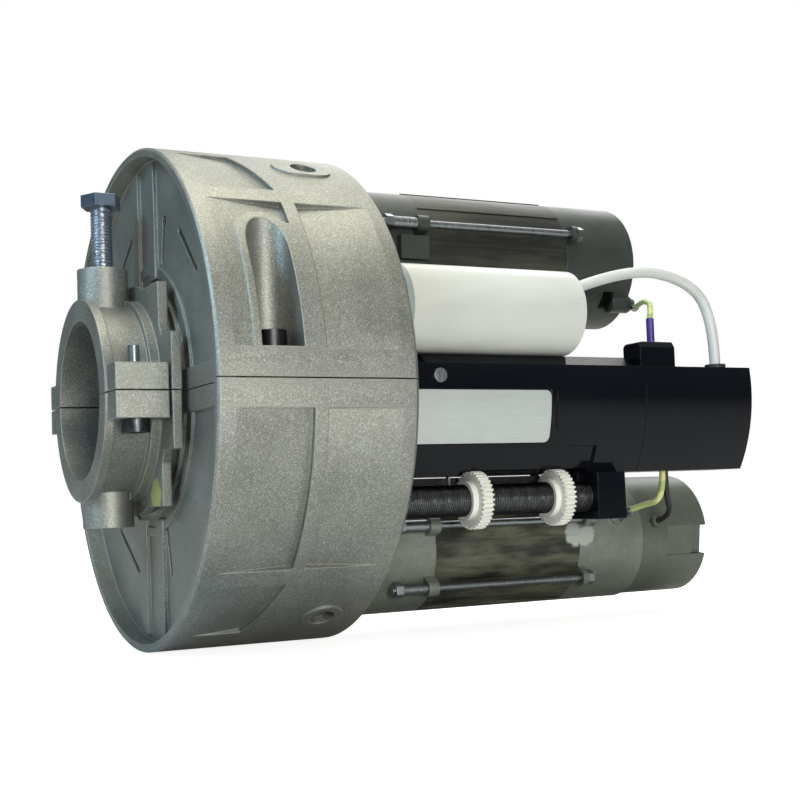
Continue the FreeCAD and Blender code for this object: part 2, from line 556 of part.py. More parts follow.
def radial_plate(name, points, low, high, angle):
    """Polygon of (x, sideways) corners drawn outward from the X axis at an angle."""
    body = doc.addObject("PartDesign::Body", name)
    sketch = outline(body, name + "_profile", "XY_Plane", points)
    pad = body.newObject("PartDesign::Pad", name + "_pad")
    pad.Profile = (sketch, [""])
    bind(pad, "Length", "(%s) - (%s)" % (high, low))
    turn = "(%s) * 1deg" % angle
    return place(body, "0", "-(%s) * cos(%s)" % (low, turn), "(%s) * sin(%s)" % (low, turn),
                 FreeCAD.Rotation(VECTOR(1, 0, 0), 90 - angle_value(angle)))


upper_left = panel_cut("upper_panel_left", "mid_rib_start", "panel_left", "panel_low", "panel_high")
pad_outline = join("pocket_pad", [
    radial_bar("pocket_pad_top", "surround_radius", ("90", "130"), "surround_start + surround_radius",
               "surround_angle"),
    block("pocket_pad_body", ("surround_start", "mid_rib_start + 1"), ("-130", "-95"),
          ("0", "surround_top")),
    block("pocket_pad_right", ("surround_start + surround_radius", "mid_rib_start + 1"), ("-130", "-90"),
          ("0", "surround_right_top"))])
crown_cuts.append(take("upper_panel_left_kept", upper_left, [pad_outline]))
crown_cuts.append(panel_cut("upper_panel_right", "land_start", "land_end", "panel_low", "panel_high"))
crown_cuts.append(panel_cut("lower_panel_left", "mid_rib_start", "panel_left", "-panel_high", "-panel_low"))
crown_cuts.append(panel_cut("lower_panel_right", "mid_rib_end", "land_end", "-panel_high", "-panel_low"))


def crest_panel(name, sign):
    """Panel beyond the spear groove, ended on the left of the middle rib by a slanted edge."""
    sweep = lathe(name + "_wedge", [("mid_rib_start", "crown_radius + 5"),
                                    ("mid_rib_start", "crown_radius - land_step"),
                                    ("panel_left", "crown_radius"), ("panel_left", "crown_radius + 5")])
    half = "crown_radius * sin((crest_high - crest_low) / 2 * 1deg)"
    near, far = ("-" + half, half) if sign > 0 else (half, "-" + half)
    plate = radial_plate(name + "_plate", [
        ("panel_left - 1", near), ("mid_rib_start", near), ("crest_end", far), ("panel_left - 1", far)],
        "crown_radius - 12", "crown_radius + 8", "crest_angle" if sign > 0 else "-crest_angle")
    return overlap(name, [sweep, plate])


crown_cuts.append(crest_panel("upper_crest", 1))
crown_cuts.append(crest_panel("lower_crest", -1))
crown_cuts.append(cylinder("keyhole_end", "key_radius", "web_start - 3", "web_end + 1", "slot_a_y_from",
                           "slot_a_z_from"))
for name in ("slot_a", "slot_b", "slot_c", "slot_d", "slot_e"):
    crown_cuts.append(capsule(name, "slot_half", name, "web_start - 3", "web_end + 1"))

crown = take("crown", join("crown_solids", crown_solids), crown_cuts)
for name, low, high in (("crown_upper_half", "parting_gap / 2", "200"),
                        ("crown_lower_half", "-200", "-parting_gap / 2")):
    half = block(name + "_limit", ("-10", "crown_width + 10"), ("-200", "200"), (low, high))
    show(name, overlap(name + "_solid", [crown, half]))


# Gear train: a pinion on each rotor drives two reductions, and the last pinion turns the crown
def gear(name, teeth, module, start, end, y, z, phase, core=None):
    """Toothed wheel at a shaft centre; phase is the angle of one tooth from +Y toward +Z."""
    rim = toothed(name + "_teeth", teeth, module, start, end, False, phase)
    bind(rim, ".Placement.Base.y", y)
    bind(rim, ".Placement.Base.z", z)
    root = "%s * %s / 2 - dedendum * %s" % (module, teeth, module)
    disc = cylinder(name + "_disc", root, start, end, y, z)
    return join(name, [rim, disc])


def phase_inside_ring(angle, teeth):
    """Tooth angle of a pinion that meshes with the ring at this angle."""
    nearest = (round(angle / RING_PITCH - 0.5) + 0.5) * RING_PITCH
    return angle + (nearest - angle) * size("ring_teeth") / teeth + 180 / teeth


def phase_of_partner(driven_phase, driven_teeth, toward, teeth):
    """Tooth angle of a gear that meshes with another one lying in the direction `toward` from it."""
    back = toward + 180
    pitch = 360 / driven_teeth
    nearest = driven_phase + round((back - driven_phase) / pitch) * pitch
    return toward - (nearest - back) * driven_teeth / teeth + 180 / teeth


def train(side, sign):
    """Both shafts of one motor's reduction."""
    final_y, final_z = SHAFTS[0][1], "%d * final_centre * sin(final_angle * 1deg)" % sign
    mid_y, mid_z = SHAFTS[1][1], "%d * mid_centre * sin(mid_angle * 1deg)" % sign
    final_turn = sign * size("final_angle")
    mid_turn = sign * size("mid_angle")
    centre = {}
    for key, radius, turn in (("final", size("final_centre"), final_turn),
                              ("mid", size("mid_centre"), mid_turn),
                              ("rotor", size("motor_offset"), 90 * sign)):
        centre[key] = (radius * math.cos(math.radians(turn)), radius * math.sin(math.radians(turn)))

    def direction(start, end):
        return math.degrees(math.atan2(centre[end][1] - centre[start][1], centre[end][0] - centre[start][0]))

    final_pinion = gear(side + "_final_pinion", "final_teeth", "ring_module", "ring_start", "ring_end",
                        final_y, final_z, phase_inside_ring(final_turn, size("final_teeth")))
    slow_wheel = gear(side + "_slow_wheel", "slow_teeth", "slow_module", "slow_start", "slow_end",
                      final_y, final_z, 0)
    final_bar = cylinder(side + "_final_bar", "gear_shaft_radius", "wall_start + 0.5", "plate_end - 1",
                         final_y, final_z)
    collar = cylinder(side + "_final_collar", "bush_radius + 1", "ring_end", "slow_start", final_y, final_z)
    show(side + "_final_shaft", join(side + "_final_shaft_solid",
                                     [final_bar, final_pinion, slow_wheel, collar]))
    slow_phase = phase_of_partner(0, size("slow_teeth"), direction("mid", "final"),
                                  size("slow_pinion_teeth"))
    slow_pinion = gear(side + "_slow_pinion", "slow_pinion_teeth", "slow_module", "slow_pinion_start",
                       "slow_pinion_end", mid_y, mid_z, slow_phase)
    fast_wheel = gear(side + "_fast_wheel", "fast_teeth", "fast_module", "fast_start", "fast_end", mid_y,
                      mid_z, 0)
    mid_bar = cylinder(side + "_mid_bar", "gear_shaft_radius", "wall_start + 0.5", "slow_pinion_start",
                       mid_y, mid_z)
    mid_thin = cylinder(side + "_mid_thin", "gear_shaft_radius - 0.3", "slow_pinion_start",
                        "slow_pinion_end", mid_y, mid_z)
    mid_rear = cylinder(side + "_mid_rear", "gear_shaft_radius", "slow_pinion_end", "plate_end - 1", mid_y,
                        mid_z)
    show(side + "_intermediate_shaft", join(side + "_intermediate_shaft_solid",
                                            [mid_bar, mid_thin, mid_rear, slow_pinion, fast_wheel]))
    return phase_of_partner(0, size("fast_teeth"), direction("rotor", "mid"), size("rotor_pinion_teeth"))


ROTOR_PHASE = {"upper": train("upper", 1), "lower": train("lower", -1)}

bushes = []
for name, y, z in SHAFTS:
    for end, start, stop in (("front", "wall_start", "wall_end"), ("rear", "plate_start", "plate_end")):
        bushes.append(ring("%s_bush_%s" % (end, name), "bush_radius", "gear_shaft_radius + running_fit",
                           start, stop, y, z))
show("shaft_bushes", group("shaft_bush_set", bushes))

# Motor plate, its screws and the crown bearing on its rim
plate_cuts = [cylinder(name + "_plate_hole", "bush_radius", "plate_start - 1", "plate_end + 1", y, z)
              for name, y, z in SHAFTS]
plate_screws = []
for angle in HUB_SCREW_ANGLES:
    plate_cuts.append(hub_screw("plate_hole_%d" % angle, "plate_screw_radius + screw_fit",
                                "plate_start - 1", "plate_end + 1", angle))
    plate_cuts.append(hub_screw("plate_counterbore_%d" % angle, "plate_head_radius + screw_fit",
                                "plate_end - plate_head_height", "plate_end + 1", angle))
    shank = hub_screw("plate_shank_%d" % angle, "plate_screw_radius", "plate_start - 9",
                      "plate_end - plate_head_height", angle)
    head = hub_screw("plate_head_%d" % angle, "plate_head_radius", "plate_end - plate_head_height",
                     "plate_end", angle)
    plate_screws.append(join("plate_screw_%d" % angle, [shank, head]))

crown_sweep = ring("crown_sweep", "crown_radius + 10", "lip_radius - 0.9", "plate_end - 2",
                   "crown_width + 0.8")
MOUNT_ANGLES = (45, 135, 225, 315)
MOTORS = (("upper", 1), ("lower", -1))
mount_screws = []
for side, sign in MOTORS:
    axis = "%d * motor_offset" % sign
    plate_cuts.append(cylinder(side + "_rotor_hole", "rotor_shaft_radius + 2", "plate_start - 1",
                               "plate_end + 1", "0", axis))
    for angle in MOUNT_ANGLES:
        y = "mount_screw_circle * cos(%ddeg)" % angle
        z = "%s + mount_screw_circle * sin(%ddeg)" % (axis, angle)
        key = "%s_mount_%d" % (side, angle)
        plate_cuts.append(cylinder(key + "_hole", "mount_screw_radius + screw_fit", "plate_start - 1",
                                   "plate_end + 1", y, z))
        plate_cuts.append(cylinder(key + "_counterbore", "mount_head_radius + screw_fit",
                                   "plate_start - 1", "mount_head_start + mount_head_height", y, z))
        mount_screws.append(join(key, [
            cylinder(key + "_head", "mount_head_radius", "mount_head_start",
                     "mount_head_start + mount_head_height", y, z),
            cylinder(key + "_shank", "mount_screw_radius", "mount_head_start + mount_head_height",
                     "plate_end + front_wall - 1.5", y, z)]))
show("gearbox_screws", group("gearbox_screw_set", plate_screws + mount_screws))
plate_disc = ring("motor_plate_disc", "plate_radius", "plate_bore", "plate_start", "plate_end")
show("motor_plate", take("motor_plate_solid", plate_disc, plate_cuts))

rollers = []
roller_pockets = []
for n in range(int(size("roller_count"))):
    y = "roller_centre * cos(%ddeg)" % (10 * n)
    z = "roller_centre * sin(%ddeg)" % (10 * n)
    rollers.append(cylinder("roller_%d" % n, "roller_radius", "roller_start", "roller_end", y, z))
    roller_pockets.append(cylinder("roller_pocket_%d" % n, "roller_radius + 0.15", "roller_start - 0.15",
                                   "roller_end + 0.15", y, z))
show("bearing_rollers", group("bearing_roller_set", rollers))
cage_ring = ring("cage_ring", "roller_centre + cage_thickness / 2", "roller_centre - cage_thickness / 2",
                 "roller_start - 0.6", "roller_end + 0.35")
show("bearing_cage", take("bearing_cage_solid", cage_ring, roller_pockets))

# Motors
TIE_ANGLES = (17, -32, 148, 197)
tie_bolts = []
tie_spacers = []
tie_nuts = []
stators = []
windings = []
bearings = []
for side, sign in MOTORS:
    axis = "%d * motor_offset" % sign
    bell_end = side + "_bell_end"
    front_lugs = []
    if side == "upper":
        front_lugs.append(radial_block("upper_side_block", ("side_block_start", "front_bell_end"),
                                       ("motor_radius - 2", "side_block_reach"), -2, "6", axis))
    rear_lugs = []
    lug_holes = []
    for n, angle in enumerate(TIE_ANGLES):
        y = "-tie_radius * cos(%ddeg)" % angle
        z = "%s + tie_radius * sin(%ddeg)" % (axis, angle)
        key = "%s_tie_%d" % (side, n)
        for lugs, end, limits in ((front_lugs, "front", ("spacer_end", "front_bell_end")),
                                  (rear_lugs, "rear", ("stator_end", "tie_end - tie_head_width"))):
            lugs.append(cylinder("%s_%s_lug" % (key, end), "ear_radius", limits[0], limits[1], y, z))
            lugs.append(radial_block("%s_%s_neck" % (key, end), limits, ("motor_radius - 2", "tie_radius"),
                                     angle, "ear_radius", axis))
        lug_holes.append(cylinder(key + "_hole", "tie_bolt_radius + screw_fit", "tie_start - 2",
                                  "tie_end - tie_head_width + 1", y, z))
        tie_bolts.append(join(key, [
            cylinder(key + "_shank", "tie_bolt_radius", "tie_start - 1.5", "tie_end - tie_head_width", y, z),
            hexagon(key + "_head", "tie_nut_radius", "tie_end - tie_head_width", "tie_end", y, z)]))
        tie_spacers.append(ring(key + "_spacer", "spacer_radius", "tie_bolt_radius + screw_fit",
                                "tie_start + tie_nut_width", "spacer_end", y, z))
        tie_nuts.append(take(key + "_nut", hexagon(key + "_nut_solid", "tie_nut_radius", "tie_start",
                                                   "tie_start + tie_nut_width", y, z),
                             [cylinder(key + "_nut_bore", "tie_bolt_radius + 0.05", "tie_start - 1",
                                       "tie_start + tie_nut_width + 1", y, z)]))

    shell = cylinder(side + "_front_shell", "motor_radius", "plate_end", "front_bell_end", "0", axis)
    cavity = cylinder(side + "_front_cavity", "motor_radius - bell_wall", "plate_end + front_wall",
                      "front_bell_end + 1", "0", axis)
    seat = cylinder(side + "_front_seat", "bearing_radius", "plate_end + front_wall - bearing_width",
                    "plate_end + front_wall + 1", "0", axis)
    passage = cylinder(side + "_front_passage", "rotor_shaft_radius + 2", "plate_end - 1",
                       "plate_end + front_wall", "0", axis)
    screw_holes = []
    for angle in MOUNT_ANGLES:
        screw_holes.append(cylinder("%s_bell_thread_%d" % (side, angle), "mount_screw_radius + screw_fit",
                                    "plate_end - 1", "plate_end + front_wall + 1",
                                    "mount_screw_circle * cos(%ddeg)" % angle,
                                    "%s + mount_screw_circle * sin(%ddeg)" % (axis, angle)))
    show(side + "_front_bell", take(side + "_front_bell_solid",
                                    join(side + "_front_bell_outer", [shell] + front_lugs),
                                    [cavity, seat, passage, crown_sweep] + screw_holes + lug_holes))

    stators.append(ring(side + "_stator_core", "motor_radius", "stator_bore", "stator_start", "stator_end",
                        "0", axis))
    windings.append(ring(side + "_front_winding", "winding_outer", "winding_inner",
                         "stator_start - winding_length", "stator_start", "0", axis))
    windings.append(ring(side + "_rear_winding", "winding_outer", "winding_inner", "stator_end",
                         "stator_end + winding_length", "0", axis))

    rear_shell = cylinder(side + "_rear_shell", "motor_radius", "stator_end", bell_end, "0", axis)
    rear_cuts = [
        cylinder(side + "_rear_cavity", "motor_radius - bell_wall", "stator_end - 1",
                 "%s - rear_wall" % bell_end, "0", axis),
        cylinder(side + "_rear_seat", "bearing_radius", "%s - rear_wall - 1" % bell_end,
                 "%s - rear_wall + bearing_width" % bell_end, "0", axis)]
    if side == "lower":
        rear_lugs.append(radial_bar("lower_tag_boss", "tag_radius + 0.6",
                                    ("motor_radius - 2.5", "lower_tag_height"), "lower_tag_x",
                                    "lower_tag_angle", axis))
        lug_holes.append(radial_bar("lower_tag_thread", "tag_bore", ("motor_radius - 6", "50"),
                                    "lower_tag_x", "lower_tag_angle", axis))
        rear_cuts.append(cylinder("lower_rear_passage", "rotor_shaft_radius + 2", "lower_bell_end - 10",
                                  "lower_bell_end + 1", "0", axis))
    else:
        tag_y = "-upper_tag_circle * cos(upper_tag_angle * 1deg)"
        tag_z = "motor_offset + upper_tag_circle * sin(upper_tag_angle * 1deg)"
        rear_lugs.append(cylinder("upper_tag_boss", "tag_radius + 0.6", "upper_bell_end - 12",
                                  "upper_bell_end", tag_y, tag_z))
        lug_holes.append(cylinder("upper_tag_thread", "tag_bore", "upper_bell_end - 8", "upper_bell_end + 1",
                                  tag_y, tag_z))
        rear_cuts.append(radial_block("upper_bell_window", ("window_start", "window_end"),
                                      ("motor_radius - bell_wall - 2", "motor_radius + 2"), -41, "5.5",
                                      axis))
    show(side + "_rear_bell", take(side + "_rear_bell_solid",
                                   join(side + "_rear_bell_outer", [rear_shell] + rear_lugs),
                                   rear_cuts + lug_holes))

    for end, start in (("front", "plate_end + front_wall - bearing_width"),
                       ("rear", "%s - rear_wall" % bell_end)):
        bearings.append(ring("%s_%s_bearing" % (side, end), "bearing_radius",
                             "rotor_shaft_radius + running_fit", start, start + " + bearing_width", "0",
                             axis))

    shaft_end = "upper_bell_end - 3.5" if side == "upper" else "disc_end + 1"
    rotor_pinion = gear(side + "_rotor_pinion", "rotor_pinion_teeth", "fast_module", "rotor_pinion_start",
                        "rotor_pinion_end", "0", axis, ROTOR_PHASE[side])
    pinion_neck = cylinder(side + "_pinion_neck", "fast_module * (rotor_pinion_teeth / 2 - dedendum)",
                           "rotor_pinion_end - 1", "plate_start + 1", "0", axis)
    rotor_bar = cylinder(side + "_rotor_bar", "rotor_shaft_radius", "plate_start + 0.6", shaft_end, "0",
                         axis)
    core = cylinder(side + "_rotor_core", "rotor_core_radius", "rotor_core_start", "rotor_core_end", "0",
                    axis)
    show(side + "_rotor", join(side + "_rotor_solid", [rotor_pinion, pinion_neck, rotor_bar, core]))
show("motor_stators", group("stator_set", stators))
show("motor_windings", group("winding_set", windings))
show("motor_bearings", group("motor_bearing_set", bearings))
show("tie_bolts", group("tie_bolt_set", tie_bolts))
show("tie_bolt_spacers", group("tie_spacer_set", tie_spacers))
show("tie_bolt_nuts", group("tie_nut_set", tie_nuts))

# Brake behind the lower motor
brake_axis = "-motor_offset"
cap_shell = cylinder("brake_cap_shell", "brake_radius", "lower_bell_end", "brake_end", "0", brake_axis)
cap_cavity = cylinder("brake_cap_cavity", "brake_radius - brake_wall", "lower_bell_end - 1",
                      "brake_end - brake_wall", "0", brake_axis)
cap_notch = join("brake_cap_notch", [
    radial_block("notch_shallow", ("notch_start", "brake_end + 1"),
                 ("brake_radius - notch_depth", "brake_radius + 3"), "-notch_angle", "notch_half",
                 brake_axis),
    radial_block("notch_deep", ("notch_deep_start", "brake_end + 1"), ("notch_floor", "brake_radius + 3"),
                 "-notch_angle", "notch_half", brake_axis)])
cap_pocket = radial_block("notch_pocket", ("notch_deep_start - notch_wall + 0.3", "brake_end - 1"),
                          ("notch_floor - notch_wall", "brake_radius - 1.5"), "-notch_angle",
                          "notch_half + notch_wall", brake_axis)
cap_gland = radial_bar("brake_cap_gland", "brake_gland_radius", ("brake_radius - 2", "brake_gland_reach"),
                       "brake_gland_x", "brake_gland_angle", brake_axis)
cap_hollow = take("brake_cap_hollow", join("brake_cap_outer", [cap_shell, cap_gland]), [cap_cavity])
show("brake_cap", take("brake_cap_solid", join("brake_cap_pocketed", [cap_hollow, cap_pocket]), [cap_notch]))
BRAKE_ANGLES = (90, 210, 330)


def brake_bar(name, radius, start, end, angle):
    return cylinder(name, radius, start, end, "brake_screw_circle * cos(%ddeg)" % angle,
                    "%s + brake_screw_circle * sin(%ddeg)" % (brake_axis, angle))


magnet_cuts = []
armature_cuts = []
pad_cuts = []
brake_screws = []
brake_springs = []
for angle in BRAKE_ANGLES:
    magnet_cuts.append(brake_bar("magnet_hole_%d" % angle, "brake_screw_radius + screw_fit",
                                 "magnet_start - 1", "magnet_end + 1", angle))
    armature_cuts.append(brake_bar("armature_hole_%d" % angle, "brake_screw_radius + 0.4",
                                   "armature_start - 1", "armature_end + 1", angle))
    pad_cuts.append(brake_bar("pad_hole_%d" % angle, "brake_screw_radius + screw_fit", "pad_start - 1",
                              "pad_end + 1", angle))
    shank = brake_bar("brake_shank_%d" % angle, "brake_screw_radius", "magnet_start + 2", "pad_end", angle)
    head = brake_bar("brake_head_%d" % angle, "brake_screw_radius * 1.7", "pad_end", "pad_end + 3", angle)
    brake_screws.append(join("brake_screw_%d" % angle, [shank, head]))
    turn = angle + 60
    magnet_cuts.append(brake_bar("spring_pocket_%d" % angle, "spring_radius + 0.3", "magnet_end - 9",
                                 "magnet_end + 1", turn))
    brake_springs.append(ring("brake_spring_%d" % angle, "spring_radius", "spring_radius - 0.7",
                              "magnet_end - 9", "armature_start - spring_gap",
                              "brake_screw_circle * cos(%ddeg)" % turn,
                              "%s + brake_screw_circle * sin(%ddeg)" % (brake_axis, turn)))
magnet_body = ring("magnet_body", "magnet_radius", "rotor_shaft_radius + 2", "magnet_start", "magnet_end",
                   "0", brake_axis)
coil_space = ring("coil_space", "magnet_radius - 8", "rotor_shaft_radius + 5", "magnet_end - 10",
                  "magnet_end + 1", "0", brake_axis)
show("brake_magnet", take("brake_magnet_solid", magnet_body, [coil_space] + magnet_cuts))
show("brake_coil", ring("brake_coil_solid", "magnet_radius - 8", "rotor_shaft_radius + 5",
                        "magnet_end - 10", "magnet_end - 0.5", "0", brake_axis))
armature_body = ring("armature_body", "armature_radius", "rotor_shaft_radius + 2", "armature_start",
                     "armature_end", "0", brake_axis)
show("brake_armature", take("brake_armature_solid", armature_body, armature_cuts))
show("brake_disc", ring("brake_disc_solid", "disc_radius", "rotor_shaft_radius", "disc_start", "disc_end",
                        "0", brake_axis))
pad_body = ring("pad_body", "armature_radius", "rotor_shaft_radius + 2", "pad_start", "pad_end", "0",
                brake_axis)
show("brake_back_plate", take("brake_back_plate_solid", pad_body, pad_cuts))
show("brake_screws", group("brake_screw_set", brake_screws))
show("brake_springs", group("brake_spring_set", brake_springs))


# Switch box: curved round the shaft, with its own front covers
def box_region(name, radius, inner, low, high, start, end):
    """Space under a cylinder round the shaft, limited at the back, top and bottom."""
    return overlap(name, [
        cylinder(name + "_arc", radius, start, end),
        block(name + "_limits", (start, end), ("-100", "-(%s)" % inner), (low, high))])


box_outer = box_region("box_outer", "box_radius", "box_inner", "box_bottom", "box_top", "box_start",
                       "box_end")
box_inside = box_region("box_inside", "box_radius - box_wall", "box_inner + box_wall",
                        "box_bottom + box_wall", "box_top - box_wall", "box_start + box_wall",
                        "box_end - box_wall")
channel = cylinder("nut_channel", "nut_radius + 0.9", "lever_a_x - 3", "bracket_start", "-spindle_y",
                   "-spindle_z")
channel_roof = overlap("channel_roof", [
    cylinder("channel_roof_bar", "nut_radius + 0.9 + box_wall", "lever_a_x - 3 - box_wall",
             "bracket_start + box_wall", "-spindle_y", "-spindle_z"), box_outer])
lever_slots = []
for key in ("lever_a_x", "lever_b_x"):
    lever_slots.append(block("slot_" + key, (key + " - 3.2", key + " + 3.6"),
                             ("-lever_y - 0.8", "-lever_y + lever_width + 0.8"), ("-50", "box_bottom + 8")))
screw_post = crosswise("cover_screw_post", "4", "-box_radius + 0.8", "-box_inner - 1", "cover_screw_x",
                       "cover_screw_z")
post_limit = box_region("post_limit", "box_radius - 0.8", "box_inner", "box_bottom", "box_top",
                        "box_start", "box_end")
screw_bore = crosswise("cover_screw_bore", "cover_screw_shank + screw_fit", "-box_radius - 1",
                       "-box_seam + 8", "cover_screw_x", "cover_screw_z")
grommet_bore = upright("grommet_bore", "grommet_radius - 1.4", "box_top - 6", "box_top + 6", "grommet_x",
                       "-grommet_y")
supply_bore = cylinder("supply_bore", "supply_radius - 1.6", "box_end - 6", "box_end + 6", "-supply_y",
                       "supply_z")
screw_seat = crosswise("cover_screw_seat", "cover_screw_head_radius + 0.3", "-box_radius - 10",
                       "-box_radius + 0.8", "cover_screw_x", "cover_screw_z")
pillar_bores = []
pillars = []
for n, z in enumerate(("pillar_high", "pillar_low")):
    pillars.append(cylinder("pillar_%d" % n, "pillar_radius", "plate_end", "box_start + 1", "-pillar_y", z))
shell = take("box_shell", box_outer, [box_inside])
deck = slab("box_deck", [("-deck_front", "box_top - 0.5"), ("-deck_edge", "deck_top"),
                         ("-deck_back", "deck_top"), ("-deck_back + 4", "box_top - 0.5")], "deck_start",
            "deck_end")
shell = join("box_shell_ribbed", [shell, channel_roof, deck, overlap("post", [screw_post, post_limit])])
lugs = []
for n, x in enumerate(("lock_bar_start + 4", "lock_bar_end - 8")):
    lugs.append(block("lock_lug_%d" % n, (x, "%s + 4" % x), ("-box_inner - 2.2", "-box_inner"),
                      ("-47", "box_bottom + 1")))
shell = join("box_shell_lugged", [shell] + lugs)
for n, x in enumerate(("lock_bar_start + 6", "lock_bar_end - 6")):
    pillar_bores.append(crosswise("lock_pin_bore_%d" % n, "lock_pin_radius + 0.1", "-box_inner - 3",
                                  "-box_inner + 1", x, "lock_bar_z"))
recess = take("recess_tool", block("recess_block", ("recess_start", "recess_end"), ("-100", "-50"),
                                   ("-60", "recess_top")),
              [cylinder("recess_core", "box_radius - recess_depth", "100", "300")])
label_bed = take("label_bed", block("label_block", ("label_start - 0.5", "label_end + 0.5"), ("-100", "-50"),
                                    ("label_bottom - 0.5", "label_top + 0.5")),
                 [cylinder("label_core", "box_radius - 0.3", "100", "300")])
shell = take("box_shell_cut", shell, [channel, recess, label_bed, screw_bore, screw_seat, grommet_bore,
                                      supply_bore] + lever_slots + pillar_bores)
back_part = block("box_back_part", ("0", "400"), ("-box_seam + seam_gap / 2", "0"), ("-100", "100"))
front_left = block("box_front_left", ("0", "box_split - seam_gap / 2"), ("-100", "-box_seam - seam_gap / 2"),
                   ("-100", "100"))
front_right = block("box_front_right", ("box_split + seam_gap / 2", "400"),
                    ("-100", "-box_seam - seam_gap / 2"), ("-100", "100"))
base_half = overlap("switch_box_base_half", [shell, back_part])
show("switch_box_base", join("switch_box_base_solid", [base_half] + pillars))
show("switch_box_cover", overlap("switch_box_cover_solid", [shell, front_left]))
show("cable_cover", overlap("cable_cover_solid", [shell, front_right]))
cover_screw = join("cover_screw_solid", [
    crosswise("cover_screw_shank_bar", "cover_screw_shank", "-box_radius + 1", "-box_seam + 7",
              "cover_screw_x", "cover_screw_z"),
    crosswise("cover_screw_head", "cover_screw_head_radius", "-box_radius - 1.6", "-box_radius + 0.8",
              "cover_screw_x", "cover_screw_z")])
label_sheet = overlap("label_sheet", [
    ring("label_ring", "box_radius - 0.3 + plate_thickness", "box_radius - 0.3", "label_start",
         "label_end"),
    block("label_limits", ("label_start", "label_end"), ("-100", "-50"), ("label_bottom", "label_top"))])
show("rating_plate", label_sheet)

# Terminal block, grommets and what is inside the box
terminal = slab("terminal_solid", [
    ("-terminal_front", "box_top"), ("-terminal_front", "box_top + terminal_height - 3"),
    ("-terminal_front + 2", "box_top + terminal_height"), ("-terminal_back", "box_top + terminal_height"),
    ("-terminal_back", "box_top")], "terminal_start", "terminal_end")
wire_bore = upright("wire_bore", "wire_radius + 0.05", "box_top + terminal_height - 8",
                    "box_top + terminal_height + 5", "wire_x", "-wire_y")
terminal_corner = block("terminal_corner_solid", ("terminal_start - 1", "terminal_start + 3"),
                        ("-100", "-50"), ("box_top + terminal_height - 3", "box_top + terminal_height + 1"))
corner_round = crosswise("terminal_corner_round", "3", "-100", "-50", "terminal_start + 3",
                         "box_top + terminal_height - 3")
corner = take("terminal_corner", terminal_corner, [corner_round])
show("terminal_block", take("terminal_block_solid", terminal, [wire_bore, corner]))
grommet = join("grommet_solid", [
    upright("grommet_rim", "grommet_radius", "box_top", "box_top + grommet_height", "grommet_x",
            "-grommet_y"),
    upright("grommet_neck", "grommet_radius - 1.4", "box_top - box_wall - 1", "box_top", "grommet_x",
            "-grommet_y")])
supply_grommet = take("supply_grommet_ring", join("supply_grommet_solid", [
    cylinder("supply_rim", "supply_radius", "box_end", "box_end + 2.5", "-supply_y", "supply_z"),
    cylinder("supply_neck", "supply_radius - 1.6", "box_end - box_wall - 1", "box_end", "-supply_y",
             "supply_z")]),
    [cylinder("supply_passage", "supply_radius - 3.4", "box_end - 10", "box_end + 10", "-supply_y",
              "supply_z")])
show("cable_grommets", group("cable_grommet_set", [grommet, supply_grommet]))
limit_switches = []
for key, x in (("upper", "lever_a_x"), ("lower", "lever_b_x")):
    case_x = ("%s - 5" % x, "%s + 5" % x)
    case = block(key + "_switch_case", case_x, ("-lever_y - 2", "-box_inner - box_wall"),
                 ("lever_pivot + 2.5", "lever_pivot + 14"))
    button = upright(key + "_switch_button", "1.2", "lever_pivot + 1.4", "lever_pivot + 3", x,
                     "-lever_y + lever_width / 2")
    limit_switches.append(join(key + "_limit_switch", [case, button]))
    blade = block(key + "_lever_blade", ("%s - lever_thickness / 2" % x, "%s + lever_thickness / 2" % x),
                  ("-lever_y", "-lever_y + lever_width"), ("lever_tip", "lever_pivot"))
    pivot = crosswise(key + "_lever_pivot", "1", "-lever_y - 0.3", "-lever_y + lever_width + 0.3", x,
                      "lever_pivot")
    show(key + "_switch_lever", join(key + "_switch_lever_solid", [blade, pivot]))
show("limit_switches", group("limit_switch_set", limit_switches))

# Capacitor and its lead
can = cylinder("capacitor_can", "capacitor_radius", "capacitor_start + capacitor_cap_width", "capacitor_end",
               "-capacitor_y", "capacitor_z")
ALONG_GLAND = FreeCAD.Rotation(VECTOR(0, 1, 0), 90 - size("gland_angle"))
gland = doc.addObject("Part::Cylinder", "capacitor_gland")
bind(gland, "Radius", "gland_radius")
bind(gland, "Height", "gland_length")
place(gland, "gland_x", "-capacitor_y", "gland_z", ALONG_GLAND)
show("capacitor_body", join("capacitor_body_solid", [can, gland]))
show("capacitor_cap", cylinder("capacitor_cap_solid", "capacitor_radius + 0.2", "capacitor_start",
                               "capacitor_start + capacitor_cap_width", "-capacitor_y", "capacitor_z"))
saddle = take("saddle_solid", block("saddle_block", ("saddle_start", "saddle_end"),
                                    ("-saddle_front", "-saddle_back"), ("deck_top", "saddle_top")),
              [cylinder("saddle_bed", "capacitor_radius", "0", "300", "-capacitor_y", "capacitor_z")])
show("capacitor_saddle", saddle)

